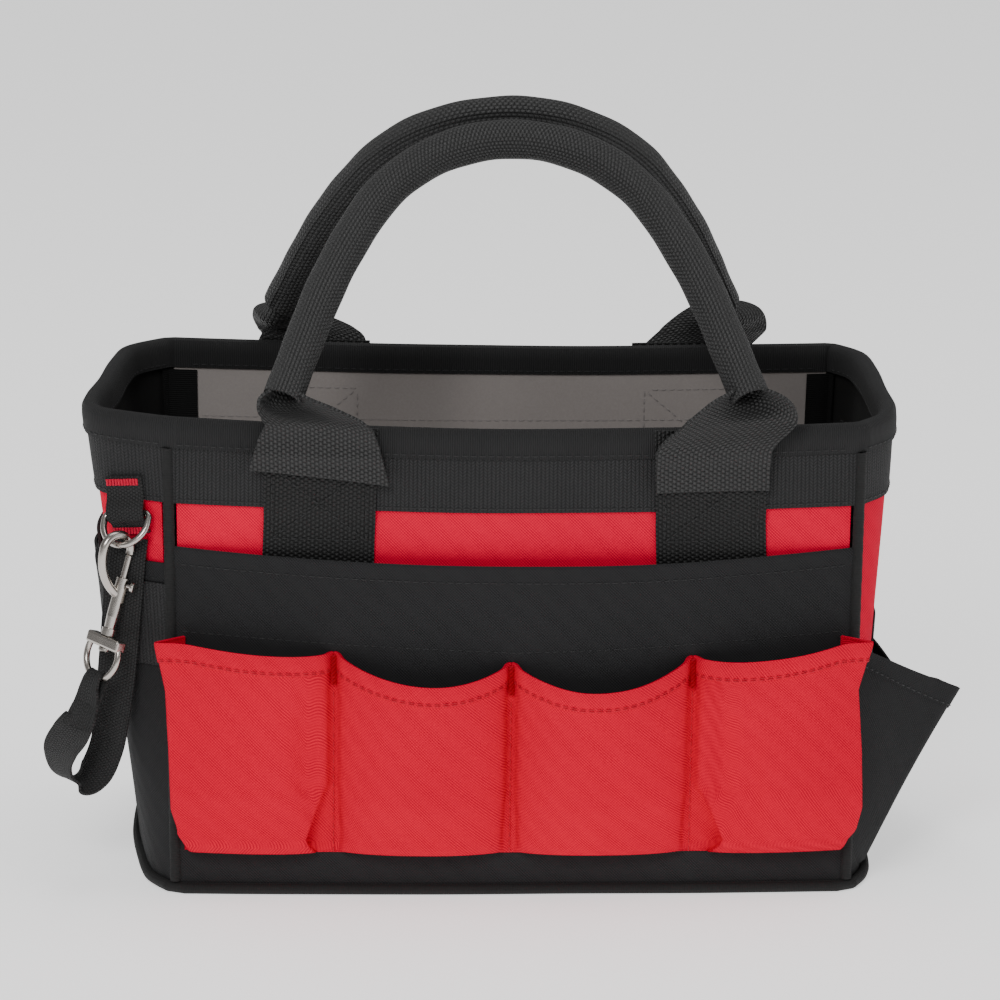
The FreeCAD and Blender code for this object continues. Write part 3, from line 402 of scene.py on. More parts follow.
class Recipe:
    """Builds the nodes of one material."""

    def __init__(self, name):
        self.material = bpy.data.materials.new(name)
        self.material.use_nodes = True
        self.tree = self.material.node_tree
        self.shader = self.tree.nodes["Principled BSDF"]

    def feed(self, socket, value):
        if isinstance(value, bpy.types.NodeSocket):
            self.tree.links.new(value, socket)
        else:
            socket.default_value = value

    def math(self, operation, *values):
        made = self.tree.nodes.new("ShaderNodeMath")
        made.operation = operation
        for socket, value in zip(made.inputs, values):
            self.feed(socket, value)
        return made.outputs[0]

    def scaled(self, value, factor, shift=0.0):
        return self.math("MULTIPLY_ADD", value, factor, shift)

    def noise(self, scale, detail=2.0, stretch=None):
        where = self.tree.nodes.new("ShaderNodeTexCoord").outputs["Object"]
        if stretch:
            mapping = self.tree.nodes.new("ShaderNodeMapping")
            mapping.inputs["Scale"].default_value = stretch
            self.feed(mapping.inputs["Vector"], where)
            where = mapping.outputs[0]
        made = self.tree.nodes.new("ShaderNodeTexNoise")
        self.feed(made.inputs["Vector"], where)
        made.inputs["Scale"].default_value = scale
        made.inputs["Detail"].default_value = detail
        return made.outputs[0]

    def flat(self):
        """Cloth coordinates in millimetres, across and along."""
        mapped = self.tree.nodes.new("ShaderNodeUVMap")
        mapped.uv_map = "UVMap"
        split = self.tree.nodes.new("ShaderNodeSeparateXYZ")
        self.feed(split.inputs[0], mapped.outputs[0])
        return split.outputs[0], split.outputs[1]

    def ridge(self, value, pitch, power=1.0):
        """Rounded ridges from 0 to 1, one in each pitch."""
        level = self.math("ABSOLUTE", self.math("SINE", self.scaled(value, math.pi / pitch)))
        return level if power == 1.0 else self.math("POWER", level, power)

    def mix(self, share, one, other):
        made = self.tree.nodes.new("ShaderNodeMix")
        made.data_type = "RGBA"
        self.feed(made.inputs[0], share)
        for index, value in ((6, one), (7, other)):
            self.feed(made.inputs[index], value if isinstance(value, bpy.types.NodeSocket) else (*value, 1))
        return made.outputs[2]

    def shade(self, tone, level):
        """The colour made lighter or darker by a value near 1."""
        made = self.tree.nodes.new("ShaderNodeHueSaturation")
        self.feed(made.inputs["Color"], tone)
        self.feed(made.inputs["Value"], level)
        return made.outputs[0]

    def relief(self, height, depth, strength=1.0, over=None):
        made = self.tree.nodes.new("ShaderNodeBump")
        made.inputs["Strength"].default_value = strength
        made.inputs["Distance"].default_value = depth * MM
        self.feed(made.inputs["Height"], height)
        if over:
            self.feed(made.inputs["Normal"], over)
        return made.outputs[0]

    def finish(self, tone, normal, roughness, **constants):
        self.feed(self.shader.inputs["Base Color"], tone)
        self.feed(self.shader.inputs["Normal"], normal)
        self.feed(self.shader.inputs["Roughness"], roughness)
        for name, value in constants.items():
            self.shader.inputs[name.replace("_", " ")].default_value = value
        return self.material


def plain_weave(r, u, v, pitch):
    across, along = (r.math("SINE", r.scaled(value, 2 * math.pi / pitch)) for value in (u, v))
    return r.scaled(r.math("MULTIPLY", across, along), 0.5, 0.5)


def twill_weave(r, u, v, pitch):
    """A plain weave of thick yarns, which catches the light in slanting lines."""
    slant = r.ridge(r.math("ADD", u, v), pitch * 0.9)
    return r.scaled(r.math("ADD", slant, plain_weave(r, u, v, pitch)), 0.5)


def beaded_weave(r, u, v, pitch):
    """Beads in columns, each column half a bead higher than the last."""
    bead = pitch * 1.14
    odd = r.math("MODULO", r.math("FLOOR", r.scaled(u, 1 / pitch, 500.0)), 2.0)
    shifted = r.math("ADD", v, r.scaled(odd, 0.5 * bead))
    return r.math("MULTIPLY", r.ridge(u, pitch, 0.55), r.ridge(shifted, bead, 0.6))


def chevron_weave(r, u, v, pitch):
    saw = r.math("PINGPONG", r.scaled(u, 1.0, 500 * pitch), pitch)
    slope = r.ridge(r.math("ADD", v, r.scaled(saw, 0.8)), pitch * 0.8)
    return r.math("MULTIPLY", r.ridge(u, pitch, 0.5), r.scaled(slope, 0.6, 0.4))


def cross_ribs(r, u, v, pitch):
    return r.math("MULTIPLY", r.ridge(v, pitch, 0.7), r.scaled(r.ridge(u, pitch * 0.4), 0.15, 0.85))


def twisted(r, u, v, pitch):
    return r.ridge(r.math("ADD", u, v), pitch, 0.8)


def cloth(name, tone, weave, pitch, depth, low, sheen=0.03, shine=0.3, rough=0.85):
    """A woven cloth; low is the share of its tone that is left between the yarns, painted shade in the
    hollows of the weave.
    """
    r = Recipe(name)
    height = weave(r, *r.flat(), pitch)
    # Painted shade: the colour is darkest between the yarns, in the hollows of the weave, and full on the
    # ridges; the same height also drives the bump.
    body = r.mix(height, tuple(c * low for c in tone), tone)
    slow = r.scaled(r.noise(14.0, 4.0), 0.2, 0.9)
    fine = r.scaled(r.noise(900.0, 3.0), 0.2, 0.9)
    body = r.shade(body, r.math("MULTIPLY", slow, fine))
    soft = r.relief(r.noise(120.0, 4.0), 0.5, 0.25)
    normal = r.relief(height, depth, 0.9, soft)
    roughness = r.scaled(r.noise(60.0), 0.16, rough - 0.08)
    r.shader.inputs["Sheen Tint"].default_value = (1, 1, 1, 1)
    looks = {"Sheen_Weight": sheen, "Sheen_Roughness": 0.45, "Specular_IOR_Level": shine}
    return r.finish(body, normal, roughness, **looks)


def canvas(name, tone, low, sheen=0.0, shine=0.1):
    return cloth(name, tone, twill_weave, 1.5, 0.3, low, sheen, shine)


def thread(name, tone, low=0.5, rough=0.6):
    return cloth(name, tone, twisted, 0.5, 0.15, low, 0.05, rough=rough)


def metal(name, tone, rough, scratch):
    r = Recipe(name)
    body = r.mix(r.noise(60.0, 3.0), tuple(c * 0.82 for c in tone), tone)
    normal = r.relief(r.noise(700.0, 4.0, (1, 1, 0.15)), 0.05, scratch)
    roughness = r.scaled(r.noise(160.0, 4.0), 0.18, rough)
    return r.finish(body, normal, roughness, Metallic=1.0)


RED = canvas("red_canvas", (1.0, 0.0, 0.05), 0.42)
POCKET_RED = canvas("pocket_red_canvas", (0.86, 0.0, 0.036), 0.45)
BLACK = canvas("black_canvas", (0.028, 0.028, 0.0292), 0.3, 0.02, 0.15)
GREY = cloth("grey_lining_cloth", (0.40, 0.362, 0.345), plain_weave, 0.6, 0.1, 0.7)
DARK_LINING = cloth("black_lining_cloth", (0.014, 0.0138, 0.0135), plain_weave, 0.6, 0.1, 0.6, 0.02, 0.15)
RIBBED = cloth("ribbed_webbing_black", (0.030, 0.030, 0.031), chevron_weave, 1.85, 0.6, 0.12, shine=0.35)
TAPE = cloth("binding_tape_black", (0.020, 0.020, 0.0205), cross_ribs, 1.0, 0.3, 0.4)
SEAM_TAPE = cloth("seam_tape_black", (0.010, 0.010, 0.010), cross_ribs, 1.0, 0.3, 0.4, 0.02, 0.15)
PIPING = cloth("piping_cloth_black", (0.017, 0.017, 0.017), cross_ribs, 0.8, 0.2, 0.5)
# One beaded webbing in two tones: the handle webbing is painted lighter, as light from above falls on the
# grips, and the strap webbing darker, painted shade where the straps hang in shadow.
WEBBING = cloth("beaded_webbing_black", (0.030, 0.030, 0.030), beaded_weave, 1.85, 0.9, 0.08, 0.03, 0.5, 0.6)
STRAP = cloth("strap_webbing_black", (0.011, 0.011, 0.011), beaded_weave, 1.85, 0.9, 0.08, 0.03, 0.4, 0.6)
NARROW = cloth("tether_webbing_black", (0.026, 0.026, 0.026), beaded_weave, 1.4, 0.6, 0.1, shine=0.35)
RED_THREAD = thread("red_thread_twist", (0.85, 0.0, 0.05))
PALE_THREAD = thread("pocket_thread_twist", (0.68, 0.0, 0.025))
BLACK_THREAD = thread("black_thread_twist", (0.030, 0.030, 0.031), 0.4, 0.55)
GREY_THREAD = thread("grey_thread_twist", (0.36, 0.33, 0.32), 0.6)
NICKEL = metal("nickel_plate", (0.52, 0.485, 0.45), 0.16, 0.03)
STEEL = metal("spring_wire", (0.5, 0.5, 0.5), 0.25, 0.3)

for node in ("d_ring", "hook_body", "bolt", "thumb_stud", "swivel_eye", "bolt_spring"):
    kept = frame["nodes"][node]
    kept.data.materials.clear()
    kept.data.materials.append(STEEL if node == "bolt_spring" else NICKEL)

# ---- walls, linings and base

T_LONG = np.linspace(0.0105, 0.9895, 121)
T_END = np.linspace(0.018, 0.982, 91)
T_POCKET = np.linspace(0.003, 0.997, 121)
WALL_OUT, BAND_OUT, INNER_OUT = 1.2, 1.6, -4.3
FOOT, BAND_LOW, TOP = 1.5, 180, 216.6
SHEET, LINING, HEM, WEB = 0.9, 0.9, 1.3, 1.35


def share_grid(shares, rows, low=0, high=1):
    """Shares and heights over a sheet, in even rows from low to high."""
    return np.meshgrid(shares, np.linspace(low, high, rows), indexing="ij")


def wall_grid(wall, low, high, out, rows=60, shares=None):
    if shares is None:
        shares = T_LONG if wall in LONG_WALLS else T_END
    return surface_by_share(wall, out)(*share_grid(shares, rows, low, high))


for wall in LONG_WALLS:
    slab(f"{wall}_wall", wall_grid(wall, FOOT, TOP, 0), 3.1, RED,
         replaces=(f"{wall}_panel", f"{wall}_stiffener"))
    slab(f"{wall}_wall_lining", wall_grid(wall, FOOT, TOP, -3.4), LINING, GREY,
         replaces=(f"{wall}_lining",))
for wall in ("left", "right"):
    slab(f"{wall}_wall", wall_grid(wall, FOOT, TOP, 0), 1.0, RED,
         replaces=(f"{wall}_end_panel",))
    slab(f"{wall}_wall_lining", wall_grid(wall, FOOT, TOP, -1.2), LINING, DARK_LINING,
         replaces=(f"{wall}_end_lining",))
for wall in WALLS:
    band = wall_grid(wall, BAND_LOW, TOP, BAND_OUT, 24, T_POCKET)
    slab(f"band_{wall}", band, 1.4, RIBBED, replaces=(f"top_band_{wall}",))


def loop_points(z, out):
    """Points once round the bag at one height."""
    rows = []
    for wall in WALLS:
        edge, count = (0.012, 120) if wall in LONG_WALLS else (0.0204, 80)
        rows.append(on_wall(wall, np.linspace(edge, 1 - edge, count), z, out))
    return np.concatenate(rows)


def loop_sweep(name, profile, material, replaces):
    """A closed profile, as pairs of stand-off and height, carried round the bag."""
    rings = np.stack([loop_points(z, out) for out, z in profile], 1)
    return tube(name, rings, material, replaces=replaces, closed=True, sharp=40)


loop_sweep("rim_tape", [
    (2.75, 205.1), (3.0, 207), (3.0, 212), (2.6, 215.6), (1.2, 217.7), (-1.35, 218.5), (-3.9, 217.7),
    (-5.3, 215.6), (-5.7, 212), (-5.6, 205.2), (-4.6, 205.2), (-4.6, 214.5), (-3.2, 216.7), (-1.35, 217.3),
    (0.6, 216.7), (1.75, 214.5), (1.75, 205.1)], TAPE, ("rim_binding",))


def circle(radius, sides):
    turn = np.linspace(0, 2 * math.pi, sides, endpoint=False)
    return np.stack([np.cos(turn), np.sin(turn), np.zeros(sides)], -1) * radius


CORD_RADIUS = 2.5
welt_profile = circle(CORD_RADIUS, 10)[:, :2] + [2.8, 2.6]
loop_sweep("base_welt", welt_profile, PIPING, ("base_piping",))

for place, corner in {"front_left": 0, "front_right": 2, "back_right": 6, "back_left": 8}.items():
    heights = np.linspace(5.6, 205, 120)
    spine = []
    for z in heights:
        near = corners_at(z)
        here = near[corner]
        away = -unit(unit(near[corner - 1] - here) + unit(near[corner + 1] - here)) * 0.9
        spine.append((*(here + away), z + rise(here[0], z)))
    swell = 1 + 0.03 * np.sin(heights * 0.9 + corner)
    rings = np.array(spine)[:, None] + circle(CORD_RADIUS, 14)[None] * swell[:, None, None]
    tube(f"corner_welt_{place}", rings, PIPING, replaces=(f"corner_piping_{place}",))


PLATE_CORNER = 20


def rounded_plate(name, half_x, half_y, top, thickness, material, replaces, sag=0.0):
    """A flat rounded plate of cloth; sag lets its middle settle."""
    u, v = share_grid(np.linspace(-1, 1, 81), 49, -1)
    x, y = u * half_x, v * half_y
    over_x = np.maximum(np.abs(x) - (half_x - PLATE_CORNER), 0)
    over_y = np.maximum(np.abs(y) - (half_y - PLATE_CORNER), 0)
    pull = np.maximum(over_x, over_y) / np.maximum(np.hypot(over_x, over_y), 1e-6)
    x = np.sign(x) * (np.abs(x) - over_x + over_x * pull)
    y = np.sign(y) * (np.abs(y) - over_y + over_y * pull)
    z = top - sag * (1 - u ** 2) * (1 - v ** 2)
    slab(name, np.stack([x, y, z], -1), thickness, material, replaces=replaces)


rounded_plate("bottom_sheet", 158, 85, 1.0, 1.0, BLACK, ("base_panel",))
rounded_plate("bottom_lining", 151, 76, 5.6, 1.4, GREY, ("base_lining", "base_board"), 0.5)

z = np.linspace(7, 204, 60)
for number, pair in enumerate((("left", "front"), ("front", "right"), ("right", "back"), ("back", "left"))):
    columns = []
    for wall, low, high in zip(pair, (0.955, 0.015), (0.985, 0.04)):
        out = INNER_OUT - 0.35 + (0 if wall in LONG_WALLS else 1.2)
        columns += [on_wall(wall, t, z, out) for t in np.linspace(low, high, 5)]
    slab(f"inside_tape_{number + 1}", np.stack(columns), 0.8, SEAM_TAPE,
         replaces=() if number else ("corner_seam_tapes",))

# ---- slip pockets

POCKET_LOW = 1.1
HEM_DEPTH, HEM_ROW = 8.4, 7.4


def bow(t):
    return 1 - (2 * t - 1) ** 2


def slip_out(t, z):
    """How far a slip pocket stands off its wall."""
    bulge = np.interp(z, [7, 70, 158], [1.0, 5.6, 8.0])
    folds = 0.9 * np.sin(9.5 * t + 0.6) * np.sin(math.pi * t) * np.clip((z - 60) / 100, 0, 1)
    return WALL_OUT + bulge * bow(t) + folds * bow(t)


def slip_mouth(t):
    return 160.2 - 3.8 * bow(t)


for wall in LONG_WALLS:
    t, level = share_grid(T_POCKET, 80)
    z = POCKET_LOW + (slip_mouth(t) - POCKET_LOW) * level
    slab(f"{wall}_slip_sheet", on_wall(wall, t, z, slip_out(t, z)), SHEET, BLACK,
         replaces=(f"{wall}_slip_pocket",))
    t, level = share_grid(T_POCKET, 9)
    z = slip_mouth(t) - HEM_DEPTH + 8.9 * level
    edge = 0.55 * np.sqrt(np.clip(1 - (2 * level - 1) ** 6, 0, 1))
    slab(f"{wall}_slip_hem", on_wall(wall, t, z, slip_out(t, z) + edge), HEM, BLACK, sharp=70)
    t = np.linspace(0.015, 0.985, 400)
    for z, lift in (
        (slip_mouth(t) - HEM_ROW, 0.6),
        (np.interp(np.abs(2 * t - 1), [0, 1], [116, 122]), 0.1),
    ):
        stitch_row(f"{wall}_black", on_wall(wall, t, z, slip_out(t, z) + lift), [0, FACING[wall], 0])

# ---- red tool pockets

DIVIDERS = (-149, -81, -1.5, 80, 149)
CELL_LOW = 20.5
# Left height, right height and sag of each cell's mouth.
MOUTHS = ((119.5, 115.5, 1.5), (115.5, 111.5, 10.0), (111.5, 113.7, 11.5), (113.7, 119.5, 3.0))
# Widest hollow beside a seam, by cell and side.
HOLLOW = {(0, 1): 13.0, (3, 0): 16.0}
# Where a cell's valley and its crease lie, and how strong they are.
VALLEYS = {0: (-88.0, 0.75), 3: (90.0, 0.85)}
CREASES = ((-112.0, 0.8), (-52.0, 0.6), (45.0, 0.9), (108.0, 2.2))
FLARE_LEVELS = (0, 0.11, 0.22, 0.5, 0.78, 1)
OUTER_FLARE = {(0, 0): (-4, 4.5, 8, 8.5, 9.5, 14), (3, 1): (0, 9.5, 12, 10.5, 8, 14)}
LEVELS = np.concatenate([[0, 0.006, 0.012, 0.03], np.linspace(0.05, 1, 56)])
HALF_SLIP = 154


def slip_point(x, z, forward):
    """A point in front of the front slip pocket's face."""
    inside = np.clip(x, -HALF_SLIP, HALF_SLIP)
    share = front_share(inside, z)
    face = on_wall("front", share, z, slip_out(share, z) + 0.3)
    face[..., 0] += x - inside
    face[..., 1] -= forward
    return face


def smooth_rows(points, window=7):
    """Rounds the bends of a path of points, keeping its ends."""
    half = window // 2
    for _ in range(2):
        first, last = 2 * points[:1] - points[half:0:-1], 2 * points[-1:] - points[-2:-half - 2:-1]
        total = np.cumsum(np.concatenate([np.zeros((1, 3)), first, points, last]), 0)
        points = (total[window:] - total[:-window]) / window
    return points


def cell_side(number, side, level, z, bottom):
    """The seam, the tuck behind the fold and the shoulder of the fold, on one side of a cell."""
    x, inward = DIVIDERS[number + side], 1 - 2 * side
    closing = 0.35 + 0.65 * min(1.0, level / 0.08)
    hollow = closing * HOLLOW.get((number, side), 1.5) * np.clip((0.34 - level) / 0.30, 0, 1) ** 0.8
    flare = OUTER_FLARE.get((number, side))
    reach = -float(np.interp(level, FLARE_LEVELS, flare)) if flare else 2.5 + 0.8 * hollow
    forward = (13.0 if flare else 4.5 + 0.6 * hollow) * bottom
    seam = slip_point(np.array(x + 0.6 * inward), z, 0.6)
    tuck = slip_point(np.array(x + (2.2 + 1.15 * hollow) * inward), z, 0.9)
    shoulder = slip_point(np.array(x + reach * inward), z, forward)
    return seam, seam if flare else tuck, shoulder


def cell_row(number, level):
    """One level of a cell, from its left seam round its front to its right seam."""
    left, right = DIVIDERS[number], DIVIDERS[number + 1]
    z_left, z_right, sag = MOUTHS[number]
    valley_x, valley_share = VALLEYS.get(number, (0, 0))
    crease_x, crease_depth = CREASES[number]

    def height(share):
        mouth = z_left + (z_right - z_left) * share - sag * (1 - (2 * share - 1) ** 2)
        return float(CELL_LOW + (mouth - CELL_LOW) * level)

    depth = 15.0 if number in (0, 3) else 15.5
    bottom = np.interp(level, [0, 0.012, 0.05, 0.3, 1], [0.12, 0.62, 0.8, 1.0, 1.0])
    one, other = (cell_side(number, side, level, height(side), bottom) for side in (0, 1))
    start, end = one[2], other[2]
    front = []
    for share in np.linspace(0, 1, 60):
        x = start[0] + (end[0] - start[0]) * share
        across = float(np.clip((x - left) / (right - left), 0, 1))
        edge_y = start[1] * (1 - share) + end[1] * share
        swell = (1 - abs(2 * share - 1) ** 2.4) ** 0.8
        dip = math.exp(-((x - valley_x) / 13.0) ** 2) * math.sin(math.pi * min(1, level * 1.15))
        crest = slip_point(np.array(x), height(across), depth * bottom)
        y = edge_y + (min(crest[1], edge_y - 1.0) - edge_y) * swell * (1 - valley_share * dip)
        y += crease_depth * math.exp(-((x - crease_x) / 5.0) ** 2) * math.sin(math.pi * min(1, level * 1.3))
        front.append([x, y, crest[2]])
    line = resample(np.array([one[0], one[1], *front, other[1], other[0]]), 0.9)
    order = np.arange(len(line))
    return smooth_rows(read_at(np.linspace(0, len(line) - 1, 150), order, line))


def below_mouth(rows, drop, lift):
    """A line across a cell, a drop below its mouth and lifted off its face, with its facings."""
    spots, facings = [], []
    for column, normals in zip(rows, grid_normals(rows)):
        z = column[-1, 2] - drop
        facing = read_at(z, column[:, 2], normals)
        spots.append(read_at(z, column[:, 2], column) + facing * lift)
        facings.append(facing)
    return np.array(spots), np.array(facings)


cells = []
for number in range(4):
    rows = np.stack([cell_row(number, level) for level in LEVELS], 1)
    calm = np.sin(math.pi * np.linspace(0, 1, len(rows)))[:, None] * np.clip(LEVELS * 4, 0, 1)[None]
    rows[..., 1] += 0.9 * soft_noise(rows, 11 + number, 48.0) * calm
    cells.append(rows)
slab("tool_pocket_sheet", np.concatenate(cells), SHEET, POCKET_RED,
     replaces=("tool_pocket_panel",), sharp=70)

HEM_STRIPS = ((9.0, 0.1), (8.7, 0.55), (4.0, 0.65), (0.6, 0.6), (-0.5, 0.35))
for number, rows in enumerate(cells):
    strips = [below_mouth(rows, drop, lift)[0] + [0, 0, max(0.0, -drop)] for drop, lift in HEM_STRIPS]
    slab(f"tool_pocket_hem_{number + 1}", np.stack(strips, 1), 1.5, POCKET_RED, sharp=75)
    for drop in (7.2, 8.1):
        path, facing = below_mouth(rows, drop, 0.65)
        stitch_row("pocket_red", path[2:-2], facing[2:-2], wide=0.5)

TACK = {"length": 0.55, "gap": 0.12, "wide": 3.0, "high": 0.9}
for x, (z_top, _, _) in zip(DIVIDERS[1:-1], MOUTHS[1:]):
    for group, low, high, count, forward, look in (
        ("divider_tacks", z_top - 15, z_top - 0.5, 80, 2.0, TACK),
        ("pocket_red", 20, z_top - 16, 200, 1.5, {"wide": 0.5}),
    ):
        path = slip_point(np.full(count, float(x)), np.linspace(low, high, count), forward)
        stitch_row(group, path, [0, -1, 0], **look)

# ---- left end


def left_bulge(t):
    level = np.interp(STEPS, [0, 0.17, 0.5, 0.83, 1], [0, 0.95, 1, 0.12, 0])
    level = np.convolve(np.pad(level, 60, mode="edge"), np.ones(121) / 121, "valid")
    level = level * np.clip(STEPS / 0.06, 0, 1) * np.clip((1 - STEPS) / 0.06, 0, 1)
    return np.interp(t, STEPS, level)


def left_out(t, z):
    return WALL_OUT + left_bulge(t) * np.interp(z, [7, 100, 152], [1.0, 6.5, 7.0])


LOOPS = 5
END_STEPS = (0.003, 0.5)


def loop_out(t, z):
    """The loop webbing stands out a little between its stitched divisions."""
    swell = np.abs(np.sin(math.pi * LOOPS * t)) ** 0.6
    return left_out(t, z) + 1.7 + 1.6 * swell * np.clip((t - 0.04) * 12, 0, 1) * np.clip((0.93 - t) * 9, 0, 1)


slab("left_pocket_sheet", wall_grid("left", POCKET_LOW, 151.5, left_out, 70, T_POCKET), SHEET, BLACK,
     replaces=("left_end_pocket",))
slab("left_pocket_hem", wall_grid("left", 143.4, 152.2, lambda t, z: left_out(t, z) + 0.5, 8, T_POCKET), HEM,
     BLACK)
slab("left_loops", wall_grid("left", 105, 143, loop_out, 30, T_POCKET), HEM, RIBBED,
     replaces=("left_loop_webbing",))
hem_face = surface_by_share("left", lambda t, z: left_out(t, z) + 0.6)
sew_line("ends_black", hem_face, (0.03, 145), (0.97, 145), END_STEPS)
for share in np.arange(1, LOOPS) / LOOPS:
    sew_line("ends_black", surface_by_share("left", loop_out), (share, 106), (share, 142), END_STEPS,
             length=0.6, gap=0.25, wide=2.6, high=0.6, lift=0.1)

# ---- right end pocket

TIP = np.array([207.0, -40.0, 81.0])
FLARE_FOOT = np.array([164.0, -62.0, 7.0])
FLARE = rounded_weights([0, 0.3, 0.5, 0.7, 1], 0.035)


def flared_point(u, z):
    """A point of the right end pocket, at share u round it and height z."""
    share = (z - FLARE_FOOT[2]) / (TIP[2] - FLARE_FOOT[2])
    crease_x = FLARE_FOOT[0] + (TIP[0] - FLARE_FOOT[0]) * share
    crease_y = FLARE_FOOT[1] + (TIP[1] - FLARE_FOOT[1]) * share
    near = plan_points(z)
    xs = [near[2][0] + 1.4, crease_x, crease_x - 3 * share + 2, crease_x - 14 * share, near[6][0] + 1.4]
    ys = [near[2][1] + 2, crease_y, 8, 64 - 18 * share, near[6][1] - 2]
    weights = [np.interp(u, STEPS, row) for row in FLARE]
    x = sum(weight * place for weight, place in zip(weights, xs))
    y = sum(weight * place for weight, place in zip(weights, ys))
    hollow = np.sin(math.pi * np.clip(u / 0.3, 0, 1)) * np.clip(share, 0, 1)
    slack = 1.8 * np.sin(u * 12 + 0.04 * z) * np.sin(math.pi * np.clip(u, 0, 1)) * np.clip(share, 0, 1)
    return np.stack([x + slack - 1.5 * hollow, y + 1.5 * hollow, z], -1)


def flared_mouth(u):
    ramp = np.interp(u, [0, 0.3, 0.7, 1], [113, 81.5, 66, 92])
    front, side = np.clip(u / 0.3, 0, 1), np.clip((u - 0.3) / 0.4, 0, 1)
    return ramp - 2.0 * np.sin(math.pi * front) - 1.5 * np.sin(math.pi * side)


FLARE_U = np.linspace(0.004, 0.996, 170)
backing = wall_grid("right", POCKET_LOW, 110, 0.95, 40, T_POCKET)
slab("right_pocket_backing", backing, 0.7, BLACK)
u, level = share_grid(FLARE_U, 60)
grid = flared_point(u, FLARE_FOOT[2] + (flared_mouth(u) - FLARE_FOOT[2]) * level)
slab("right_pocket_sheet", grid, SHEET, BLACK, replaces=("right_end_pocket",), sharp=60)
u, level = share_grid(FLARE_U, 8)
grid = flared_point(u, flared_mouth(u) - HEM_DEPTH + 8.8 * level)
slab("right_pocket_hem", grid + grid_normals(grid) * 0.5, HEM, BLACK, sharp=60)
u = np.linspace(0.02, 0.98, 500)
z = flared_mouth(u) - HEM_ROW
path = flared_point(u, z)
facing = unit(np.cross(flared_point(u + 0.003, z) - path, [0, 0, 1.0]))
stitch_row("ends_black", path + facing * 0.6, facing)

# ---- straps

STRAP_X = {"left": -88.0, "right": 88.0}
HALF_STRAP = 25


def strap_out(z):
    return np.interp(z, [118, 174, 180, 201, 205.5, 219], [1.6, 1.6, 3.2, 3.2, 4.6, 4.6])


for wall in LONG_WALLS:
    behind = wall == "back"
    for side, centre in STRAP_X.items():
        across, z = share_grid(np.linspace(-HALF_STRAP, HALF_STRAP, 33), 90, 118, 218.4)
        if behind:
            across = -across
        lean = 0.03 * (1 if side == "left" else -1)
        x = centre + across + lean * (z - 170)
        curl = 0.25 * (np.abs(across) / HALF_STRAP) ** 6
        strap = on_wall(wall, wall_share(wall, x, z), z, strap_out(z) - curl)
        slab(f"{wall}_{side}_webbing", strap, WEB, STRAP, replaces=(f"{wall}_{side}_strap",))
        face, group = surface_by_x(wall, strap_out), f"{wall}_black"
        inner = surface_by_x(wall, INNER_OUT)
        left, right = centre - 21, centre + 21
        box_stitch(group, face, left, right, 166, 199, lift=0.15, behind=behind)
        sew_line(group, face, (left - 1, 201.5), (right + 1, 201.5), lift=0.15, wide=0.8, behind=behind)
        box_stitch("inside_grey", inner, left, right, 160, 197, lift=0.1, behind=not behind)

# ---- rows round the top

for wall in WALLS:
    inside, lining_out = ("inside_grey", INNER_OUT) if wall in LONG_WALLS else ("inside_black", -2.1)
    for group, out, z, edge, lift, behind in (
        ("rim_black", 3.05, 206.8, 0.012, 0.0, False),
        ("rim_black", -5.75, 206.8, 0.03, 0.0, True),
        ("rim_black", BAND_OUT, BAND_LOW + 1.8, 0.012, 0.1, False),
        (inside, lining_out, BAND_LOW + 2, 0.05, 0.1, True),
    ):
        sew_line(group, surface_by_share(wall, out), (edge, z), (1 - edge, z), END_STEPS, lift, behind)

# ---- handles

GRIP_RADIUS = 9.2
HINGE_Z = 221.0
# Middle of the hinge, the leg's upward direction and the outward direction of each handle.
HANDLES = {
    side: (np.array([0, y, HINGE_Z]), np.array([0, lean, up]), np.array([0, up, -lean]) * FACING[side])
    for side, y, lean, up in (("front", -94.03, 0.5678, 0.8231), ("back", 77.32, -0.503, 0.8643))
}


def arc(centre, radius, degrees):
    angles = np.radians(degrees)
    return np.array(centre) + radius * np.stack([np.sin(angles), np.cos(angles)], -1)


def handle_line(lowest):
    """The grip's middle line in its own plane, from the right leg over the top to the left leg."""
    foot, leg = np.array([90.7, 51.8]), np.array([100.8, 24.0])
    down = unit(leg - foot)
    run = (foot[1] - lowest) / -down[1]
    points = np.concatenate([
        foot + down * run * np.linspace(1, 0, 30)[:-1, None],
        arc([-144.25, -33.7], 250.0, np.linspace(70, 57, 60)[:-1]),
        arc([0, 60], 78, np.linspace(57, 0, 80)),
    ])
    return np.concatenate([points, points[::-1][1:] * [-1, 1]])


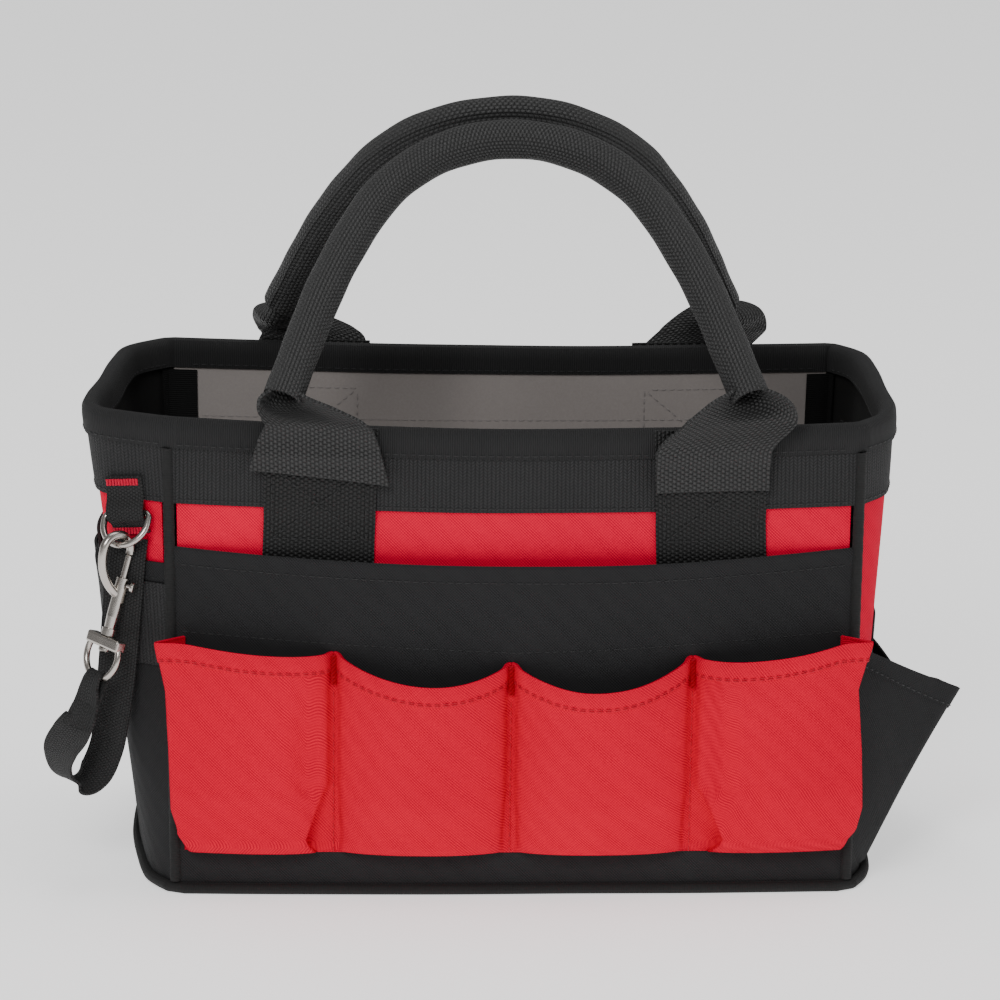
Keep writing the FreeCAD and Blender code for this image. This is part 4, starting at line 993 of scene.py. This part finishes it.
def grip(side):
    """The rolled webbing of a handle, with its long seam."""
    place, up, out = HANDLES[side]
    flat = handle_line(13.0 if side == "front" else 20.0)
    line = resample(place + flat[:, :1] * np.array([1.0, 0, 0]) + flat[:, 1:] * up, 1.1)
    inward = unit(np.cross(unit(np.gradient(line, axis=0)), out))
    turn = np.linspace(0, 2 * math.pi, 56, endpoint=False)
    run = np.linspace(0, 1, len(line))
    seam = 1.25 * math.pi
    wind = np.mod(turn - seam, 2 * math.pi) / (2 * math.pi)
    wander = 0.16 * np.sin(run * 37)[:, None] * np.sin(2 * turn)[None] + 0.12 * np.sin(run * 90 + 1)[:, None]
    radius = GRIP_RADIUS - 0.7 + 0.75 * wind[None] + wander
    facing = inward[:, None] * np.cos(turn)[None, :, None] + out[None, None] * np.sin(turn)[None, :, None]
    outer = line[:, None] + facing * radius[..., None]
    inner = line[:, None] + facing * (radius - 1.9)[..., None]
    kept = np.unique(np.r_[0:len(line):4, len(line) - 1])
    body = f"{side}_handle"
    piece = tube(f"{side}_grip_webbing", np.concatenate([outer, inner[kept][::-1]]), WEBBING,
                 body, (f"{side}_handle_grip", f"{side}_handle_core"), closed=True, sharp=55)
    at = (seam + 0.32) % (2 * math.pi)
    away = (inward * math.cos(at) + out * math.sin(at))[6:-6]
    stitch_row(f"{side}_grip", line[6:-6] + away * (GRIP_RADIUS - 0.62), away, length=3.4, gap=1.3)
    sew(f"{side}_grip", f"{side}_grip_seam", BLACK_THREAD, body)


def ease(value, low, high):
    share = np.clip((value - low) / (high - low), 0, 1)
    return float(share * share * (3 - 2 * share))


def neck(side, hand):
    """The end of a handle's webbing: rolled inside the grip, then opened out flat over the strap."""
    place, up, out = HANDLES[side]
    face, facing = surface_by_x(side, strap_out), FACING[side]
    sign = 1 if hand == "right" else -1
    flap = hand == "left"
    widths = [31, 27, 22.5, 17, 14, 13.5] if flap else [25.5, 26, 25, 21, 15.5, 13.5]
    lowest, shift_low = (-25, -3) if flap else (-31, -14)
    lobe_size, gap_end, slant = (0.3, 2.6, -2.5) if flap else (1, 0.4, 0)
    across = np.linspace(-1, 1, 61)
    columns = []
    for level in np.linspace(lowest, 24, 80):
        half = float(np.interp(level, [lowest, -10, 1, 8, 15, 24], widths))
        fold = float(np.interp(level, [-10, 1, 8, 16], [0.03, 0.2, 0.6, 1.0])) ** 1.3
        bend = (2 * math.pi * 0.8 * fold + 0.02) / (2 * half)
        wide = np.sin(bend * across * half) / bend
        forward = (1 - np.cos(bend * across * half)) / bend
        x_leg = 109.52 - 0.3633 * max(level, 0)
        x = sign * (88 + (x_leg - 88) * ease(level, shift_low, 13)) + wide
        low_z = HINGE_Z + level + (1 - ease(level, lowest, 4)) * slant * across
        lobe = 2.6 * ease(level, -20, -4) * np.maximum(across * sign, 0) ** 2 * lobe_size
        gap = 1.9 + gap_end * ease(-level, 6, 25) + 1.2 * np.abs(across) ** 3 + lobe
        lying = face(np.clip(x, -150, 150), np.minimum(low_z, 219.5))
        lying[:, 1] += (gap + forward) * facing
        lying[:, 2] += np.maximum(low_z - 219.5, 0)
        lift = forward - min(1 / bend, 6.0) * fold
        standing = place + up * level + np.outer(x, [1.0, 0, 0]) + out * lift[:, None]
        blend_in = ease(level, -5, 8)
        columns.append(lying * (1 - blend_in) + standing * blend_in)
    grid = np.array(columns).transpose(1, 0, 2)
    return slab(f"{side}_{hand}_neck", grid[::-facing], WEB, WEBBING, sharp=60)


def bend_piece(piece):
    """Takes the piece off its body and bakes its place into its mesh."""
    piece.parent = None
    del piece["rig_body"]
    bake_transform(piece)


for side in HANDLES:
    grip(side)
    for hand in STRAP_X:
        bend_piece(neck(side, hand))

# ---- tether

BAR = np.array([-173.863, -70.287, 174.0])
ALONG = np.array([0.8752, -0.4633, 0.1392])
RIGHTWARD = np.array([ALONG[0], ALONG[1], 0]) / math.hypot(ALONG[0], ALONG[1])
OUTWARD = np.array([RIGHTWARD[1], -RIGHTWARD[0], 0])
BAR_UP = np.cross(OUTWARD, ALONG)


def spline(points, count):
    """A smooth line through points, by distance along them."""
    points = np.array(points, float)
    gaps = np.linalg.norm(np.diff(points[:, :3], axis=0), axis=1)
    knots = np.concatenate([[0], np.cumsum(np.maximum(gaps, 1e-6) ** 0.5)])
    padded = np.concatenate([[2 * points[0] - points[1]], points, [2 * points[-1] - points[-2]]])
    knots = np.concatenate([[-knots[1]], knots, [2 * knots[-1] - knots[-2]]])
    made = []
    for x in np.linspace(knots[1], knots[-2], count):
        i = int(np.clip(np.searchsorted(knots, x) - 1, 1, len(knots) - 3))
        t, row = knots[i - 1:i + 3], padded[i - 1:i + 3]
        for spans in (((0, 1), (1, 2), (2, 3)), ((0, 2), (1, 3)), ((1, 2),)):
            row = [(t[high] - x) / (t[high] - t[low]) * one + (x - t[low]) / (t[high] - t[low]) * other
                   for (low, high), one, other in zip(spans, row, row[1:])]
        made.append(row[0])
    return np.array(made)


LIFT = 2.7
ANCHOR_PROFILE = (
    (17, 1.9), (12, 1.95), (8, 2.3), (3, 2.0 + LIFT), (0, 2.5 + LIFT), (-2.6, 1.95 + LIFT), (-5.6, 1.2),
    (-9.6, 0.5),
)
side_line = spline([(out - LIFT, up, 0) for up, out in ANCHOR_PROFILE], 50)
across = np.linspace(-9.25, 9.25, 15)
grid = (BAR + across[:, None, None] * ALONG + side_line[None, :, 1:2] * BAR_UP
        + (side_line[None, :, :1] + 1.3) * OUTWARD)
slab("anchor_webbing", grid[:, ::-1], HEM, NARROW, replaces=("tether_anchor_webbing",))

across = np.linspace(-8.8, 8.8, 60)
for up, out in ((14.5, 1.9), (-8.2, 0.9)):
    for row in range(7):
        middle = BAR + BAR_UP * (up + (row - 3) * 0.42) + OUTWARD * (out - LIFT + 1.75)
        wobble = BAR_UP * 0.18 * np.sin(across * 5 + row)[:, None]
        path = middle + across[:, None] * ALONG + wobble
        stitch_row("tether_red", path, OUTWARD, length=1.6, gap=0.12, high=0.4)

# Middle point of the hanging strap, with its distance from the bag and its turn in degrees.

HANGING = (
    (-172.9, 1.5, 162.6, -26), (-174.3, 4.4, 152.0, -24), (-176.2, 6.8, 130.0, -24),
    (-178.2, 8.4, 105.0, -26), (-180.4, 9.0, 82.0, -34), (-183.5, 11.0, 63.0, -40),
    (-189.0, 15.0, 51.0, -42), (-197.0, 20.0, 45.6, -56), (-204.0, 26.0, 49.5, -58),
    (-206.8, 29.5, 59.0, -54), (-203.5, 32.5, 70.0, -51),
)
# Distance below the eye, distance aside and width of the strap's end, which wraps round the eye.
FOLDED = (
    (22, 1.1, 18.5), (12, 1.3, 15.0), (4.5, 3.4, 11.0), (0, 3.7, 9.5), (-3.2, 2.2, 9.0), (-4.2, 0, 9.0),
    (-3.2, -2.2, 9.0), (0, -3.7, 9.5), (4.5, -3.4, 11.0), (12, -1.3, 15.0), (24, -1.1, 18.5),
)
HOOK_FOOT = np.array([-183.779, -81.299, 116.979])
EYE_DROP = 17.2


def turned(axis, degrees):
    return np.array(Matrix.Rotation(math.radians(degrees), 3, axis))


eye_axes = turned("Y", 15) @ turned("X", -8) @ turned("Z", -50)
EYE_LOW = HOOK_FOOT - eye_axes[:, 2] * EYE_DROP
wrap_across = eye_axes[:, 0]
wrap_down = np.array([-0.42, -0.18, -0.9])
wrap_down = unit(wrap_down - wrap_across * (wrap_down @ wrap_across))
wrap_side = np.cross(wrap_down, wrap_across)


def strap_stations():
    """Middle point, width direction and width along the tether strap."""
    stations = []
    for x, stand_off, z, turn in HANGING:
        near = corners_at(z)
        front, shoulder = near[0], near[11]
        edge = front - shoulder
        facing = unit(np.array([edge[1], -edge[0]]))
        spot = front - edge * (x - front[0]) / (shoulder[0] - front[0])
        a = math.radians(turn)
        stations.append([x, spot[1] + stand_off / facing[1], z, math.cos(a), math.sin(a), 0, 18.5])
    for below, aside, width in FOLDED:
        stations.append([*(EYE_LOW + wrap_down * below + wrap_side * aside), *wrap_across, width])
    return np.array(stations)


line = spline(strap_stations(), 300)
middle, wide, width = line[:, :3], line[:, 3:6], line[:, 6:]
tangent = unit(np.gradient(middle, axis=0))
wide = unit(wide - tangent * np.sum(wide * tangent, 1, keepdims=True))
thick = np.cross(tangent, wide)
share = np.linspace(-0.5, 0.5, 17)
curl = 0.25 * (2 * share) ** 4
grid = middle[None] + share[:, None, None] * (wide * width)[None] + thick[None] * (0.65 - curl)[:, None, None]
slab("tether_webbing", grid, HEM, NARROW, "tether", ("tether_strap",), 70)

end = slice(268, 298)
for aside in (-0.38, 0.38):
    for out in (thick[end], -thick[end]):
        stitch_row("tether_black", middle[end] + wide[end] * width[end] * aside + out * 0.7, out, length=2.6)

for group, name, material, slot in (
    ("front_black", "front_seams", BLACK_THREAD, "black_webbing"),
    ("back_black", "back_seams", BLACK_THREAD, "black_webbing"),
    ("ends_black", "end_seams", BLACK_THREAD, "black_webbing"),
    ("rim_black", "rim_seams", BLACK_THREAD, "black_tape"),
    ("inside_black", "inside_end_seams", BLACK_THREAD, "black_lining"),
    ("inside_grey", "inside_seams", GREY_THREAD, "grey_lining"),
    ("pocket_red", "pocket_seams", PALE_THREAD, "red_thread"),
):
    sew(group, name, material)
sew("divider_tacks", "divider_tacks", PALE_THREAD, replaces=("pocket_bartacks",))
sew("tether_red", "tether_tacks", RED_THREAD, replaces=("tether_bartacks",))
sew("tether_black", "tether_seams", BLACK_THREAD, "tether")

# ---- floor, light and camera

floor_mesh = bmesh.new()
bmesh.ops.create_grid(floor_mesh, x_segments=4, y_segments=4, size=8)
floor_data = bpy.data.meshes.new("studio_floor")
floor_mesh.to_mesh(floor_data)
floor_mesh.free()
floor = bpy.data.objects.new("studio_floor", floor_data)
bpy.context.scene.collection.objects.link(floor)
paper = Recipe("pale_paper")
floor_data.materials.append(paper.finish(
    paper.mix(paper.noise(3.0), (0.9, 0.9, 0.9), (0.92, 0.92, 0.92)),
    paper.relief(paper.noise(300.0), 0.05, 0.1), 0.9,
    Specular_IOR_Level=0.2, Emission_Color=(1, 1, 1, 1), Emission_Strength=0.85))

world = bpy.data.worlds.new("studio")
bpy.context.scene.world = world
world.use_nodes = True
world.node_tree.nodes["Background"].inputs["Color"].default_value = (1, 1, 1, 1)
world.node_tree.nodes["Background"].inputs["Strength"].default_value = 0.26


def softbox(name, place, target, size, power):
    lamp = bpy.data.lights.new(name, "AREA")
    lamp.shape, lamp.size, lamp.size_y, lamp.energy = "RECTANGLE", size[0], size[1], power
    holder = bpy.data.objects.new(name, lamp)
    bpy.context.scene.collection.objects.link(holder)
    holder.location = place
    aim = Vector(target) - Vector(place)
    holder.rotation_euler = aim.to_track_quat("-Z", "Y").to_euler()


softbox("key_light", (-0.7, -2.0, 1.5), (0, 0, 0.12), (0.8, 0.8), 27)
softbox("fill_light", (1.6, -1.0, 0.9), (0, 0, 0.15), (1.0, 1.0), 3)
softbox("top_light", (0.1, 0.2, 1.7), (0, 0, 0.1), (1.4, 1.0), 11)

CAMERA_DISTANCE, ELEVATION, AZIMUTH, ROLL = 3.45, math.radians(15), math.radians(-2.6), math.radians(0.6)
target = Vector((-0.003, 0, 0.161))
level_back = Vector((math.sin(AZIMUTH), -math.cos(AZIMUTH), 0))
back = level_back * math.cos(ELEVATION) + Vector((0, 0, math.sin(ELEVATION)))
right = (-back).cross(Vector((0, 0, 1))).normalized()
upward = right.cross(-back)
tilt, rest = math.sin(ROLL), math.cos(ROLL)
right, upward = right * rest + upward * tilt, upward * rest - right * tilt
lens = bpy.data.cameras.new("view")
lens.lens, lens.sensor_width = 269.5, 36.0
lens.clip_end = 50
camera = bpy.data.objects.new("view", lens)
bpy.context.scene.collection.objects.link(camera)
turning = Matrix((right, upward, back)).transposed().to_4x4()
camera.matrix_world = Matrix.Translation(target + back * CAMERA_DISTANCE) @ turning
bpy.context.scene.camera = camera
